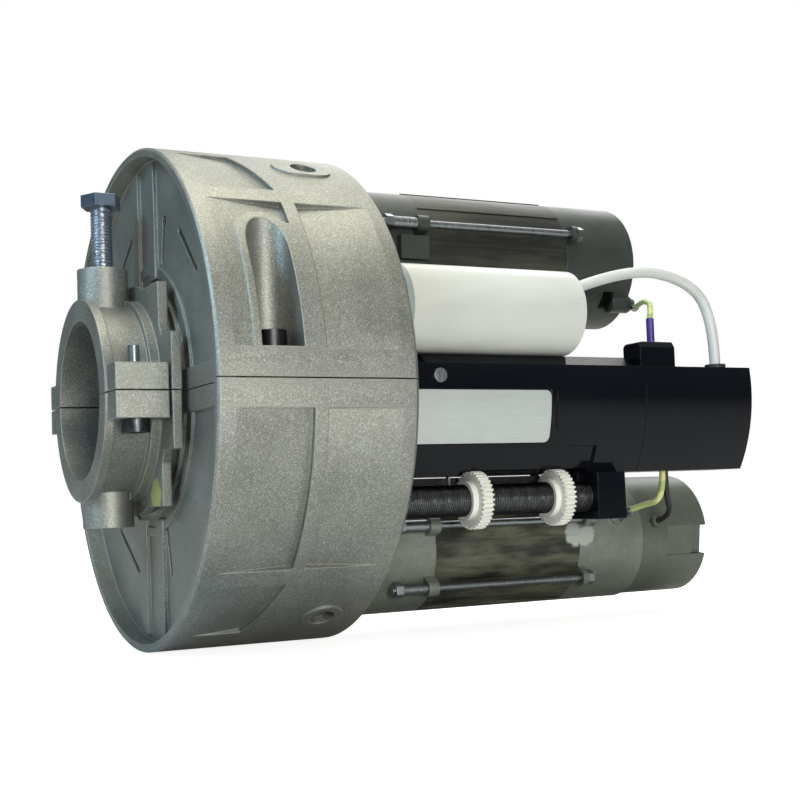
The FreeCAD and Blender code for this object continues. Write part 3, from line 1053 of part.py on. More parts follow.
# Limit spindle, its pinion, nuts and bearing bracket
spindle_axis = ("-spindle_y", "-spindle_z")
spindle_bars = [
    cylinder("spindle_journal", "gear_shaft_radius", "wall_start + 0.5", "spindle_start", *spindle_axis),
    cylinder("spindle_thread", "spindle_radius", "spindle_start", "spindle_end", *spindle_axis)]
SPINDLE_TURN = 180 + math.degrees(math.atan2(size("spindle_z"), size("spindle_y")))
spindle_gear = gear("spindle_gear_wheel", "final_teeth", "ring_module", "ring_start", "ring_end",
                    spindle_axis[0], spindle_axis[1], phase_inside_ring(SPINDLE_TURN, size("final_teeth")))
show("limit_spindle", join("limit_spindle_solid", spindle_bars + [spindle_gear]))
for key, x in (("a", "nut_a_start"), ("b", "nut_b_start")):
    disc = cylinder("nut_%s_disc" % key, "nut_root_radius", x, "%s + nut_width" % x, *spindle_axis)
    hub = cylinder("nut_%s_hub" % key, "nut_hub_radius", "%s - nut_hub_width" % x, x, *spindle_axis)
    teeth = doc.addObject("PartDesign::Body", "nut_%s_teeth" % key)
    tooth_points = [("nut_root_radius - 0.3", "-0.75"), ("nut_radius", "-0.45"), ("nut_radius", "0.45"),
                    ("nut_root_radius - 0.3", "0.75")]
    tooth = outline(teeth, "nut_%s_tooth" % key, "YZ_Plane", tooth_points)
    pad = teeth.newObject("PartDesign::Pad", "nut_%s_tooth_pad" % key)
    pad.Profile = (tooth, [""])
    bind(pad, "Length", "nut_width")
    row = teeth.newObject("PartDesign::PolarPattern", "nut_%s_tooth_row" % key)
    row.Originals = [pad]
    row.Axis = (tooth, ["N_Axis"])
    row.Angle = 360
    bind(row, "Occurrences", "nut_teeth")
    teeth.Tip = row
    for axis, text in zip("xyz", (x,) + spindle_axis):
        bind(teeth, ".Placement.Base." + axis, text)
    bore = cylinder("nut_%s_bore" % key, "spindle_radius + running_fit", "100", "300", *spindle_axis)
    show("limit_nut_" + key, take("limit_nut_%s_solid" % key,
                                  join("limit_nut_%s_whole" % key, [disc, hub, teeth]), [bore]))
bracket = block("bracket_block", ("bracket_start", "bracket_end"), ("-spindle_y - 12", "-spindle_y + 13"),
                ("bracket_bottom", "box_bottom"))
show("spindle_bearing_bracket", take("bracket_solid", bracket, [
    cylinder("bracket_bore", "spindle_radius + running_fit", "100", "spindle_end + 0.4", *spindle_axis)]))
lock_bar = block("lock_bar_plate", ("lock_bar_start", "lock_bar_end"), ("-lock_bar_y - 2", "-lock_bar_y"),
                 ("lock_bar_z - 1.7", "lock_bar_z + 1.7"))
lock_pins = [crosswise("lock_pin_%d" % n, "lock_pin_radius", "-lock_bar_y", "-box_inner - 0.4", x,
                       "lock_bar_z") for n, x in enumerate(("lock_bar_start + 6", "lock_bar_end - 6"))]
show("nut_lock_bar", join("nut_lock_bar_solid", [lock_bar] + lock_pins))


# Cords: a tube along straight runs joined by tangent arcs
def cord_path(points):
    """Wire through the points; each turn is an arc sized by the shorter of its two runs."""
    edges = []
    here = points[0]
    for n in range(1, len(points) - 1):
        back = points[n - 1] - points[n]
        ahead = points[n + 1] - points[n]
        turn = math.pi - back.getAngle(ahead)
        cutback = 0.45 * min(back.Length, ahead.Length)
        entry = points[n] + back.normalize() * cutback
        leave = points[n] + ahead.normalize() * cutback
        bend = cutback / math.tan(turn / 2)
        print("bend radius", round(bend, 1))
        inward = (back + ahead).normalize()
        middle = points[n] + inward * (bend / math.cos(turn / 2) - bend)
        edges.append(Part.LineSegment(here, entry).toShape())
        edges.append(Part.Arc(entry, middle, leave).toShape())
        here = leave
    edges.append(Part.LineSegment(here, points[-1]).toShape())
    return Part.Wire(edges)


def cord(node, radius, points):
    """Solid round cord along the path through the points."""
    path = cord_path(points)
    start = points[0]
    direction = (points[1] - points[0]).normalize()
    section = Part.Wire([Part.makeCircle(radius, start, direction)])
    item = doc.addObject("Part::Feature", node)
    item.Shape = path.makePipeShell([section], True, True)
    print(node, "length", round(path.Length, 1), "volume ratio",
          round(item.Shape.Volume / (math.pi * radius ** 2 * path.Length), 4))
    return show(node, item)


def point(name):
    return VECTOR(size(name + "_x"), -size(name + "_y"), size(name + "_z"))


def aimed(name, radius, length, start, direction):
    """Round bar from a point toward a direction."""
    item = doc.addObject("Part::Cylinder", name)
    bind(item, "Radius", radius)
    bind(item, "Height", length)
    item.Placement = FreeCAD.Placement(start, FreeCAD.Rotation(VECTOR(0, 0, 1), direction))
    return item


gland_turn = math.radians(size("gland_angle"))
lead_start = VECTOR(size("gland_x") + size("gland_length") * math.cos(gland_turn), -size("capacitor_y"),
                    size("gland_z") + size("gland_length") * math.sin(gland_turn))
lead_first = VECTOR(size("lead_first_x"), -size("capacitor_y"),
                    lead_start.z + (size("lead_first_x") - lead_start.x) * math.tan(gland_turn))
lead_end = VECTOR(size("grommet_x"), -size("grommet_y"), size("box_top") + size("grommet_height"))
lead_third = VECTOR(lead_end.x, lead_end.y, size("lead_third_z"))
cord("capacitor_lead", size("cord_radius"),
     [lead_start, lead_first, point("lead_second"), lead_third, lead_end])

# Earth wire of the upper motor: ring tag, crimp, wire and the sleeve into the terminal block
wire_end = VECTOR(size("wire_x"), -size("wire_y"), size("sleeve_top"))
wire_last = VECTOR(size("wire_x"), -size("wire_y"), size("earth_third_z"))
wire_start = point("upper_wire")
cord("upper_earth_wire", size("earth_radius"),
     [wire_start, point("earth_first"), point("earth_second"), wire_last, wire_end])
show("wire_sleeve", upright("wire_sleeve_solid", "wire_radius", "box_top + terminal_height - 8",
                            "sleeve_top", "wire_x", "-wire_y"))
toward_tag = (wire_start - point("earth_first")).normalize()
tag_centre = ("-upper_tag_circle * cos(upper_tag_angle * 1deg)",
              "motor_offset + upper_tag_circle * sin(upper_tag_angle * 1deg)")
upper_tag = take("upper_earth_tag_solid", join("upper_earth_tag_whole", [
    cylinder("upper_tag_disc", "tag_radius", "upper_bell_end", "upper_bell_end + tag_thickness",
             *tag_centre),
    aimed("upper_tag_crimp", "crimp_radius", "crimp_length", wire_start, toward_tag)]),
    [cylinder("upper_tag_bore", "tag_bore", "upper_bell_end - 4", "upper_bell_end + 4", *tag_centre),
     cylinder("upper_tag_trim", "motor_radius", "0", "upper_bell_end", "0", "motor_offset")])
upper_tag_screw = join("upper_tag_screw", [
    cylinder("upper_tag_shank", "tag_screw_radius", "upper_bell_end - 6", "upper_bell_end + tag_thickness",
             *tag_centre),
    cylinder("upper_tag_head", "tag_head_radius", "upper_bell_end + tag_thickness",
             "upper_bell_end + tag_thickness + tag_head_height", *tag_centre)])

# Earth wire of the lower motor, from its ring tag up into the switch box
lower_centre = "-motor_offset"
tag_turn = math.radians(size("lower_tag_angle"))
outward = VECTOR(0, -math.cos(tag_turn), math.sin(tag_turn))
tag_point = VECTOR(size("lower_tag_x"), 0, -size("motor_offset")) + outward * size("lower_tag_height")
lower_first = point("lower_wire_first")
lower_last = VECTOR(size("lower_wire_x"), -size("lower_wire_y"), size("lower_wire_turn_z"))
lower_end = VECTOR(size("lower_wire_x"), -size("lower_wire_y"), size("box_bottom"))
toward_tag = (tag_point + outward * 0.4 - lower_first).normalize()
lower_start = tag_point + outward * 0.4 - toward_tag * size("lower_crimp_reach")
cord("lower_earth_wire", size("lower_wire_radius"),
     [lower_start, lower_first, point("lower_wire_second"), lower_last, lower_end])
tag_top = "lower_tag_height + tag_thickness"
lower_tag = take("lower_earth_tag", join("lower_earth_tag_whole", [
    radial_bar("lower_tag_disc", "tag_radius", ("lower_tag_height", tag_top), "lower_tag_x",
               "lower_tag_angle", lower_centre),
    radial_block("lower_tag_tongue", ("lower_tag_x + tag_head_radius + 0.3", "lower_tag_x + 5.9"),
                 ("lower_tag_height", "lower_tag_height + 6"), "lower_tag_angle", "crimp_radius",
                 lower_centre),
    aimed("lower_tag_crimp", "crimp_radius + 0.1", "lower_crimp_length", lower_start, toward_tag)]),
    [radial_bar("lower_tag_bore", "tag_bore", ("30", "50"), "lower_tag_x", "lower_tag_angle", lower_centre)])
show("earth_tags", group("earth_tag_set", [upper_tag, lower_tag]))
lower_tag_screw = join("lower_tag_screw", [
    radial_bar("lower_tag_shank", "tag_screw_radius", ("motor_radius - 2.5", tag_top), "lower_tag_x",
               "lower_tag_angle", lower_centre),
    radial_bar("lower_tag_head", "tag_head_radius", (tag_top, tag_top + " + tag_head_height"), "lower_tag_x",
               "lower_tag_angle", lower_centre)])
show("small_screws", group("small_screw_set", [cover_screw, upper_tag_screw, lower_tag_screw]))

# Brake cord, from its gland on the brake cap up into the switch box
brake_turn = math.radians(size("brake_gland_angle"))
brake_out = VECTOR(0, -math.cos(brake_turn), math.sin(brake_turn))
brake_start = (VECTOR(size("brake_gland_x"), 0, -size("motor_offset"))
               + brake_out * size("brake_gland_reach"))
brake_last = VECTOR(size("brake_cord_x"), -size("brake_cord_y"), size("brake_turn_z"))
brake_end = VECTOR(size("brake_cord_x"), -size("brake_cord_y"), size("box_bottom"))
cord("brake_cord", size("brake_cord_radius"),
     [brake_start, brake_start + brake_out * size("brake_first_run"), brake_last, brake_end])

doc.recompute()
for item in doc.Objects:
    if "Invalid" in item.State or "Error" in item.State:
        raise RuntimeError("not solved: " + item.Name)
os.makedirs("parts", exist_ok=True)
for node, item in NODES.items():
    shape = item.Shape
    if shape.isNull() or not shape.isValid() or not shape.Solids:
        raise RuntimeError("bad shape: " + node)
    shape.exportStep("parts/%s.step" % node)
print(len(NODES), "parts")
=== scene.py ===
import math

import bmesh
import bpy
from mathutils import Matrix, Vector


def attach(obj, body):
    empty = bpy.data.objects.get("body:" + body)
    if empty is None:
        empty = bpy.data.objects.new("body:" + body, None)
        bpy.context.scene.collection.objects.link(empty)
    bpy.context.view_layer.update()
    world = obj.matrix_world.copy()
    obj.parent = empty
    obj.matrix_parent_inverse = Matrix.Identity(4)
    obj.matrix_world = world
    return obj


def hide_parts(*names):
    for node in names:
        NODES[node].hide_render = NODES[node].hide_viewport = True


bl_info = {
    "name": "Roller Shutter Motor",
    "version": (1, 0, 0),
    "blender": (4, 5, 0),
    "location": "View3D > Sidebar > Shutter Motor",
    "description": "Finishes and fine parts of a central roller shutter motor",
    "category": "Object",
}

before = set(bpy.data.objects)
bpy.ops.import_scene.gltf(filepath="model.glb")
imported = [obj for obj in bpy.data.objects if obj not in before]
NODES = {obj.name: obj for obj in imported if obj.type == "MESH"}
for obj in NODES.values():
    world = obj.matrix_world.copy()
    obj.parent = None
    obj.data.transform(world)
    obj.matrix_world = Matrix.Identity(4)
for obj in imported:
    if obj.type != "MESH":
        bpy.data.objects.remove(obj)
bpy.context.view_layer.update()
MM = 0.001

# Photograph's camera: place in millimetres, angles in degrees, lens for a 36 mm sensor
CAMERA_PLACE = (-177.07, -609.13, -51.37)
CAMERA_YAW = 25.930
CAMERA_PITCH = 2.832
CAMERA_ROLL = -2.002
CAMERA_LENS = 58.505
CAMERA_SENSOR = 36
CAMERA_SHIFT = (0.0542, 0.0450)

# Floor under the crown's rim, the reach of its sheet, how white the camera sees it, and the sky's light
FLOOR_HEIGHT = -0.1204
FLOOR_REACH = 6.0
FLOOR_GLOW = 0.86
WORLD_STRENGTH = 0.42

# Motors: distance of each axis from the shaft's, the core's size, the joint of rear bell and brake cap
MOTOR_OFFSET = 0.0765
CORE_RADIUS = 0.034
CORE_START = 0.1455
CORE_LENGTH = 0.087
CAP_SEAM = 0.275

# Ridges along each core
RIDGE_COUNT = 10
RIDGE_WIDTH = 0.0012
RIDGE_HEIGHT = 0.0005
RIDGE_FIRST = math.radians(4)

# Threads: where each one starts, its core's radius and its length
SPINDLE_PLACE = (0.100, -0.063, -0.0533)
SPINDLE_RADIUS = 0.0075
SPINDLE_LENGTH = 0.118
BOLT_PLACE = (-0.0135, 0, 0.0436)
BOLT_RADIUS = 0.0047
BOLT_LENGTH = 0.048
THREAD_CREASE = 50

# Heights at which the lock bolt and the clamp screws change their plating
BOLT_HEAD = 0.0925
CLAMP_SPLIT = 0.0

# Routes of the cords in millimetres, close to the points of the construction's own tubes
CAPACITOR_ROUTE = (
    (207.58, -69, 50.79), (246, -69, 64.78), (285.5, -69.4, 59), (299.6, -70, 39.5), (299.6, -70, 14.4),
)
UPPER_EARTH_ROUTE = (
    (279.2, -31.5, 50.5), (278.5, -37.5, 52.6), (269.5, -54, 49.8), (260.5, -67.5, 44.5),
    (259, -68, 38.2),
)
LOWER_EARTH_ROUTE = (
    (263.15, -40.3, -61.35), (267.4, -45.6, -59), (270.5, -54, -57.5), (271.5, -57, -48),
    (271.5, -57, -41.5),
)
BRAKE_ROUTE = (
    (284, -36.05, -68.18), (284, -47.74, -65.48), (277.5, -52, -54.5), (277.5, -52, -41.5),
)


# Node trees
class Wiring:
    """Short calls for building a node tree."""

    def __init__(self, tree):
        self.nodes = tree.nodes
        self.links = tree.links

    def node(self, kind, inputs=(), **settings):
        made = self.nodes.new(kind)
        for key, value in settings.items():
            setattr(made, key, value)
        for key, value in dict(inputs).items():
            self.feed(made.inputs[key], value)
        return made

    def feed(self, socket, value):
        if isinstance(value, bpy.types.NodeSocket):
            self.links.new(value, socket)
        else:
            socket.default_value = value

    def maths(self, operation, first, second=0.0):
        made = self.node("ShaderNodeMath", operation=operation)
        self.feed(made.inputs[0], first)
        self.feed(made.inputs[1], second)
        return made.outputs[0]


# Finishes
class Finish(Wiring):
    """One material's node tree, with short calls for what the finishes share."""

    def __init__(self, name):
        self.material = bpy.data.materials.new(name)
        self.material.use_nodes = True
        super().__init__(self.material.node_tree)
        self.shader = self.nodes["Principled BSDF"]
        self.place = self.node("ShaderNodeTexCoord").outputs["Object"]

    def set(self, **values):
        for key, value in values.items():
            self.feed(self.shader.inputs[key.replace("_", " ")], value)

    def along(self, axis):
        """The object's coordinate along one axis."""
        return self.node("ShaderNodeSeparateXYZ", {"Vector": self.place}).outputs[axis]

    def stretched(self, scale=(1, 1, 1), move=(0, 0, 0)):
        mapping = self.node("ShaderNodeMapping", {"Vector": self.place, "Scale": scale, "Location": move})
        return mapping.outputs["Vector"]

    def noise(self, grain, detail=2.0, rough=0.5, where=None):
        """Noise whose features are about grain metres across."""
        made = self.node("ShaderNodeTexNoise", {
            "Vector": where or self.place, "Scale": 1 / grain, "Detail": detail, "Roughness": rough,
        })
        return made.outputs["Fac"]

    def ramp(self, source, low, high, start=0.0, end=1.0):
        """A number that runs from start to end while source runs from low to high."""
        made = self.node("ShaderNodeMapRange", {
            "Value": source, "From Min": low, "From Max": high, "To Min": start, "To Max": end,
        })
        return made.outputs["Result"]

    def blend(self, share, first, second):
        """The first colour turned into the second by the share."""
        made = self.node("ShaderNodeMix", data_type="RGBA")
        self.feed(made.inputs["Factor"], share)
        colours = [s for s in made.inputs if s.type == "RGBA"]
        self.feed(colours[0], first)
        self.feed(colours[1], second)
        return [s for s in made.outputs if s.type == "RGBA"][0]

    def edges(self, radius):
        """Near 1 at an edge that wear would polish, 0 on open faces, and the rounded normal."""
        rounded = self.node("ShaderNodeBevel", {"Radius": radius}, samples=4)
        plain = self.node("ShaderNodeNewGeometry")
        apart = self.node("ShaderNodeVectorMath", operation="DOT_PRODUCT")
        self.feed(apart.inputs[0], rounded.outputs["Normal"])
        self.feed(apart.inputs[1], plain.outputs["Normal"])
        return self.ramp(apart.outputs["Value"], 0.99, 0.88), rounded.outputs["Normal"]

    def bump(self, height, depth, strength, normal=None):
        made = self.node("ShaderNodeBump", {"Height": height, "Distance": depth, "Strength": strength})
        if normal is not None:
            self.feed(made.inputs["Normal"], normal)
        return made.outputs["Normal"]


def rgb(colour):
    return (*tuple(colour)[:3], 1.0)


def shade(colour, factor):
    return tuple(min(1.0, c * factor) for c in tuple(colour)[:3]) + (1.0,)


def casting(name, colour, metallic, grain, depth, dirt, low, high, speck, paint=None, shaded_seam=None):
    """Die-cast metal: a fine sandy skin, slow cloudy tone, darker hollows and rubbed edges."""
    f = Finish(name)
    cloud = f.noise(0.030, 4.0, 0.6)
    skin = f.noise(grain, 3.0, 0.7)
    blotch = f.noise(grain * 4.5, 3.0, 0.6, f.stretched(move=(0.3, 0.1, 0.2)))
    tone = f.blend(f.ramp(cloud, 0.36, 0.66), shade(colour, dirt), rgb(colour))
    tone = f.blend(f.ramp(skin, 0.34, 0.62), f.blend(speck, tone, shade(colour, 0.42)), tone)
    tone = f.blend(f.ramp(skin, 0.52, 0.72, 0.0, speck), tone, shade(colour, 1.5))
    tone = f.blend(f.ramp(blotch, 0.48, 0.72, 0.0, 0.45), tone, shade(colour, 0.55))
    rub, rounded = f.edges(0.0009)
    tone = f.blend(f.maths("MULTIPLY", rub, 0.6), tone, shade(colour, 1.3))
    if paint:
        tone = painted(f, tone, *paint)
    # Painted shade: a dark line along the joint of rear bell and brake cap, where the gap between them lies
    # in shade
    if shaded_seam:
        apart = f.maths("ABSOLUTE", f.maths("SUBTRACT", f.along("X"), shaded_seam))
        tone = f.blend(f.ramp(apart, 0.0010, 0.0006, 0.0, 0.85), tone, shade(colour, 0.15))
    rough = f.ramp(f.maths("ADD", skin, cloud), 0.6, 1.4, low, high)
    f.set(Base_Color=tone, Metallic=metallic, Roughness=rough, Normal=f.bump(skin, depth, 0.8, rounded))
    return f.material


def bare_casting(name, colour, paint=None):
    """Sandy bare aluminium of the crown and the gearbox."""
    return casting(name, colour, 0.8, 0.0006, 0.00012, 0.7, 0.38, 0.6, 0.85, paint)


def bell_casting(name, colour, metallic=0.35, speck=0.2, paint=None, shaded_seam=None):
    """Smoother casting of the motor bells and the brake cap."""
    return casting(name, colour, metallic, 0.0008, 0.00005, 0.8, 0.34, 0.5, speck, paint, shaded_seam)


def painted(f, tone, centre, reach, paint):
    """A dab of paint round a point, ragged at its rim and thin over the grain."""
    wobble = f.node("ShaderNodeTexNoise", {"Vector": f.place, "Scale": 260.0, "Detail": 3.0})
    moved = f.node("ShaderNodeVectorMath", operation="SCALE")
    f.feed(moved.inputs[0], wobble.outputs["Color"])
    moved.inputs["Scale"].default_value = reach * 0.6
    shifted = f.node("ShaderNodeVectorMath", operation="ADD")
    f.feed(shifted.inputs[0], f.place)
    f.feed(shifted.inputs[1], moved.outputs[0])
    apart = f.node("ShaderNodeVectorMath", operation="DISTANCE")
    f.feed(apart.inputs[0], shifted.outputs[0])
    apart.inputs[1].default_value = [c + reach * 0.3 for c in centre]
    inside = f.ramp(apart.outputs["Value"], reach, reach * 0.8, 0.0, 0.9)
    return f.blend(inside, tone, rgb(paint))


def turned(name, colour, low=0.22, high=0.4):
    """Turned or drawn metal: fine lines along the turning, a few stains and bright edges."""
    f = Finish(name)
    streak = f.noise(0.0006, 2.0, 0.6, f.stretched((1.0, 0.12, 0.12)))
    stain = f.noise(0.006, 3.0, 0.6)
    tone = f.blend(f.ramp(streak, 0.3, 0.7), shade(colour, 0.78), shade(colour, 1.1))
    tone = f.blend(f.ramp(stain, 0.55, 0.75, 0.0, 0.5), tone, shade(colour, 0.6))
    rub, rounded = f.edges(0.0004)
    tone = f.blend(rub, tone, shade(colour, 1.3))
    f.set(
        Base_Color=tone, Metallic=1.0, Roughness=f.ramp(streak, 0.3, 0.7, low, high),
        Normal=f.bump(streak, 0.00004, 0.6, rounded),
    )
    return f.material


def moulded(name, colour, low, high, depth=0.00004, dust=0.12, lift=1.5, gleam=0.5):
    """Moulded plastic: an even skin with faint flow marks, dust in the low gloss and softened edges."""
    f = Finish(name)
    skin = f.noise(0.0009, 3.0, 0.55)
    flow = f.noise(0.018, 3.0, 0.5, f.stretched((0.5, 1.0, 1.6)))
    tone = f.blend(f.ramp(flow, 0.35, 0.7), shade(colour, 1 - dust), shade(colour, 1 + dust))
    rub, rounded = f.edges(0.0005)
    tone = f.blend(f.maths("MULTIPLY", rub, 0.35), tone, shade(colour, lift))
    f.set(
        Base_Color=tone, Roughness=f.ramp(f.maths("ADD", skin, flow), 0.7, 1.35, low, high),
        Specular_IOR_Level=gleam, Normal=f.bump(skin, depth, 0.7, rounded),
    )
    return f.material


def laminated(name, colour, shine, paint):
    """Lacquered core: streaks along the shaft, painted bronze sheen and worn lacquer mostly on the lower
    core, a dab.
    """
    f = Finish(name)
    streak = f.noise(0.0012, 3.0, 0.6, f.stretched((0.02, 1.0, 1.0)))
    sheen_and_wear = f.noise(0.012, 4.0, 0.65, f.stretched((0.2, 1.0, 1.0)))
    tone = f.blend(f.ramp(streak, 0.3, 0.7), shade(colour, 0.7), shade(colour, 1.35))
    # Painted sheen: the bronze patches, strongest on the lower core, stand in for a lamp's reflection there,
    # and are partly worn lacquer too
    lower = f.ramp(f.along("Z"), 0.02, -0.02, 0.25, 1.0)
    sheen_and_wear_share = f.maths("MULTIPLY", f.ramp(sheen_and_wear, 0.42, 0.62, 0.0, 0.7), lower)
    tone = f.blend(sheen_and_wear_share, tone, rgb(shine))
    rub, rounded = f.edges(0.0005)
    tone = f.blend(f.maths("MULTIPLY", rub, 0.5), tone, rgb(shine))
    tone = painted(f, tone, *paint)
    f.set(
        Base_Color=tone, Metallic=0.3, Roughness=f.ramp(streak, 0.35, 0.7, 0.4, 0.55),
        Normal=f.bump(streak, 0.00008, 0.7, rounded),
    )
    return f.material


def two_parted(name, lower, upper, height):
    """Bolt metal in two platings, parted at one height."""
    f = Finish(name)
    streak = f.noise(0.0006, 2.0, 0.6, f.stretched((1.0, 1.0, 0.15)))
    stain = f.noise(0.004, 3.0, 0.6)
    tone = f.blend(f.ramp(f.along("Z"), height - 0.0003, height), rgb(lower), rgb(upper))
    tone = f.blend(f.ramp(stain, 0.5, 0.75, 0.0, 0.5), tone, shade(upper, 0.7))
    rub, rounded = f.edges(0.0004)
    tone = f.blend(f.maths("MULTIPLY", rub, 0.7), tone, shade(lower, 1.2))
    f.set(
        Base_Color=tone, Metallic=0.85, Roughness=f.ramp(streak, 0.3, 0.7, 0.26, 0.42),
        Normal=f.bump(streak, 0.00004, 0.6, rounded),
    )
    return f.material


def two_tone(name, first, second, width, turn):
    """Earth insulation: a green and a yellow stripe that run along the wire and lean a little."""
    f = Finish(name)
    stripe = f.node("ShaderNodeTexWave", {
        "Vector": f.place, "Scale": 0.314 / width, "Distortion": turn, "Detail": 1.0, "Detail Scale": 60.0,
    }, wave_type="BANDS", bands_direction="Z")
    skin = f.noise(0.0007, 2.0)
    tone = f.blend(f.ramp(stripe.outputs["Fac"], 0.42, 0.58), rgb(first), rgb(second))
    f.set(
        Base_Color=f.blend(f.ramp(skin, 0.3, 0.7, 0.0, 0.25), tone, shade(first, 0.7)),
        Roughness=f.ramp(skin, 0.3, 0.7, 0.38, 0.55), Normal=f.bump(skin, 0.00005, 0.5),
    )
    return f.material


def wound(name, colour):
    """Varnished copper wire laid side by side round the core."""
    f = Finish(name)
    turns = f.node("ShaderNodeTexWave", {
        "Vector": f.place, "Scale": 700.0, "Distortion": 2.5, "Detail": 2.0, "Detail Scale": 3.0,
    }, wave_type="RINGS", rings_direction="X")
    fac = turns.outputs["Fac"]
    f.set(
        Base_Color=f.blend(f.ramp(fac, 0.2, 0.8), shade(colour, 0.45), shade(colour, 1.1)),
        Metallic=0.7, Roughness=f.ramp(fac, 0.0, 1.0, 0.42, 0.26), Normal=f.bump(fac, 0.0002, 0.8),
    )
    return f.material


def brushed_label(name, colour):
    """Foil of the rating plate: straight brush lines along its length and a faint handling bloom."""
    f = Finish(name)
    lines = f.noise(0.0005, 2.0, 0.6, f.stretched((0.04, 1.0, 1.0)))
    bloom = f.noise(0.02, 3.0, 0.5)
    tone = f.blend(f.ramp(lines, 0.3, 0.7), shade(colour, 0.93), shade(colour, 1.05))
    tone = f.blend(f.ramp(bloom, 0.5, 0.8, 0.0, 0.3), tone, shade(colour, 0.86))
    f.set(
        Base_Color=tone, Metallic=0.25, Roughness=f.ramp(bloom, 0.3, 0.7, 0.3, 0.44),
        Normal=f.bump(lines, 0.00002, 0.5),
    )
    return f.material


def linear(red, green, blue):
    """Display values of 0 to 255 as the colour that a socket takes."""
    def one(v):
        v /= 255
        return v / 12.92 if v <= 0.04045 else ((v + 0.055) / 1.055) ** 2.4
    return tuple(one(v) for v in (red, green, blue))


def tint(name, description, *display):
    """A colour of the panel, given as display values of 0 to 255."""
    return bpy.props.FloatVectorProperty(
        name=name, description=description, subtype="COLOR", size=3, min=0, max=1, default=linear(*display))


def extent(name, description, default, least, most):
    """A length of the panel, in metres."""
    return bpy.props.FloatProperty(
        name=name, description=description, unit="LENGTH", default=default, min=least, max=most)


class MotorFinishes(bpy.types.PropertyGroup):
    """Colours of the motor's finishes."""
    cast: tint("Crown casting", "Bare die-cast aluminium of the crown and gearbox", 158, 160, 153)
    bells: tint("Motor bells", "Grey-green casting of the lower motor's bells", 126, 133, 124)
    cap: tint("Brake cap", "Darker grey-green casting of the brake cap", 102, 109, 100)
    dark_bells: tint("Dark bell", "Darker casting of the upper motor's bells", 64, 70, 66)
    core: tint("Core lacquer", "Lacquer over the stacked motor cores", 36, 38, 34)
    # Core shine is a painted sheen: bronze that stands in for a lamp's reflection on the lower core, partly
    # worn lacquer
    core_sheen_and_wear: tint("Core shine", "Bronze shine where the lacquer is thin", 116, 116, 98)
    box: tint("Switch box", "Glossy dark plastic of the switch box", 13, 15, 21)
    capacitor: tint("Capacitor", "Off-white plastic can of the capacitor", 188, 190, 185)
    nylon: tint("Limit nuts", "White nylon of the limit nuts", 226, 226, 220)
    label: tint("Rating plate", "Silver foil of the bare rating plate", 178, 184, 182)
    lead: tint("Capacitor lead", "Grey sheath of the capacitor lead", 190, 192, 190)


class MotorSizes(bpy.types.PropertyGroup):
    """Sizes of the fine parts that are made here."""
    spindle_pitch: extent("Spindle pitch", "Pitch of the limit spindle's thread", 0.0010, 0.0005, 0.003)
    spindle_crest: extent("Spindle crest", "Height of the spindle's thread", 0.0004, 0.0001, 0.001)
    bolt_pitch: extent("Lock bolt pitch", "Pitch of the shaft lock bolt's thread", 0.0015, 0.0005, 0.003)
    bolt_crest: extent("Lock bolt crest", "Height of the lock bolt's thread", 0.0005, 0.0001, 0.001)


finishes = {}


def make_finishes(colours):
    """Fills the table of finishes: one for each material slot, and those of OWN_FINISH."""
    pale_paint, yellow_paint = linear(176, 182, 178), linear(196, 194, 128)
    finishes["raw_casting"] = bare_casting("cast_crown", colours.cast)
    finishes["marked_casting"] = bare_casting(
        "cast_gearbox", colours.cast, ((-0.0005, -0.0345, -0.0455), 0.0085, yellow_paint))
    finishes["bell_casting"] = bell_casting("cast_bell", colours.bells)
    finishes["marked_bell"] = bell_casting(
        "cast_marked_bell", colours.bells, paint=((0.2360, -0.034, -0.0735), 0.0070, pale_paint))
    finishes["cap_casting"] = bell_casting("cast_cap", colours.cap, shaded_seam=CAP_SEAM)
    finishes["dark_bell"] = bell_casting("cast_dark_bell", colours.dark_bells, 0.3, 0.3)
    finishes["machined_aluminium"] = turned("turned_aluminium", linear(200, 200, 196))
    finishes["bright_steel"] = turned("bright_screw", linear(205, 207, 210), 0.14, 0.28)
    finishes["zinc_steel"] = turned("zinc_bolt", linear(150, 155, 160), 0.26, 0.42)
    finishes["dark_steel"] = turned("dark_bolt", linear(64, 64, 66), 0.28, 0.46)
    finishes["bronze"] = turned("bronze_bush", linear(176, 144, 96))
    finishes["lock_bolt"] = two_parted(
        "lock_bolt_plating", linear(150, 160, 176), linear(92, 104, 120), BOLT_HEAD)
    finishes["clamp_screw"] = two_parted(
        "clamp_plating", linear(58, 62, 66), linear(120, 128, 130), CLAMP_SPLIT)
    finishes["black_plastic"] = moulded("box_gloss", colours.box, 0.07, 0.16, dust=0.1, lift=3.0, gleam=0.2)
    finishes["black_rubber"] = moulded("rubber_seal", linear(30, 30, 31), 0.5, 0.66, depth=0.00008)
    finishes["grey_plastic"] = moulded("grey_cap", linear(132, 142, 142), 0.42, 0.55)
    finishes["capacitor_white"] = moulded("capacitor_can", colours.capacitor, 0.26, 0.4, dust=0.04, lift=1.1)
    finishes["white_nylon"] = moulded("nylon_nut", colours.nylon, 0.32, 0.46, dust=0.04, lift=1.1)
    finishes["lead_grey"] = moulded("lead_sheath", colours.lead, 0.36, 0.5, dust=0.05)
    finishes["sleeve_violet"] = moulded("violet_sleeve", linear(58, 38, 124), 0.34, 0.46)
    finishes["earth_green_yellow"] = two_tone(
        "earth_wire", linear(206, 206, 140), linear(158, 176, 112), 0.011, 0.5)
    finishes["lacquered_core"] = laminated(
        "core_sheets", colours.core, colours.core_sheen_and_wear, ((0.2300, -0.034, -0.0735), 0.0070, pale_paint))
    finishes["copper_winding"] = wound("copper_coils", linear(176, 104, 62))
    finishes["label_silver"] = brushed_label("label_foil", colours.label)


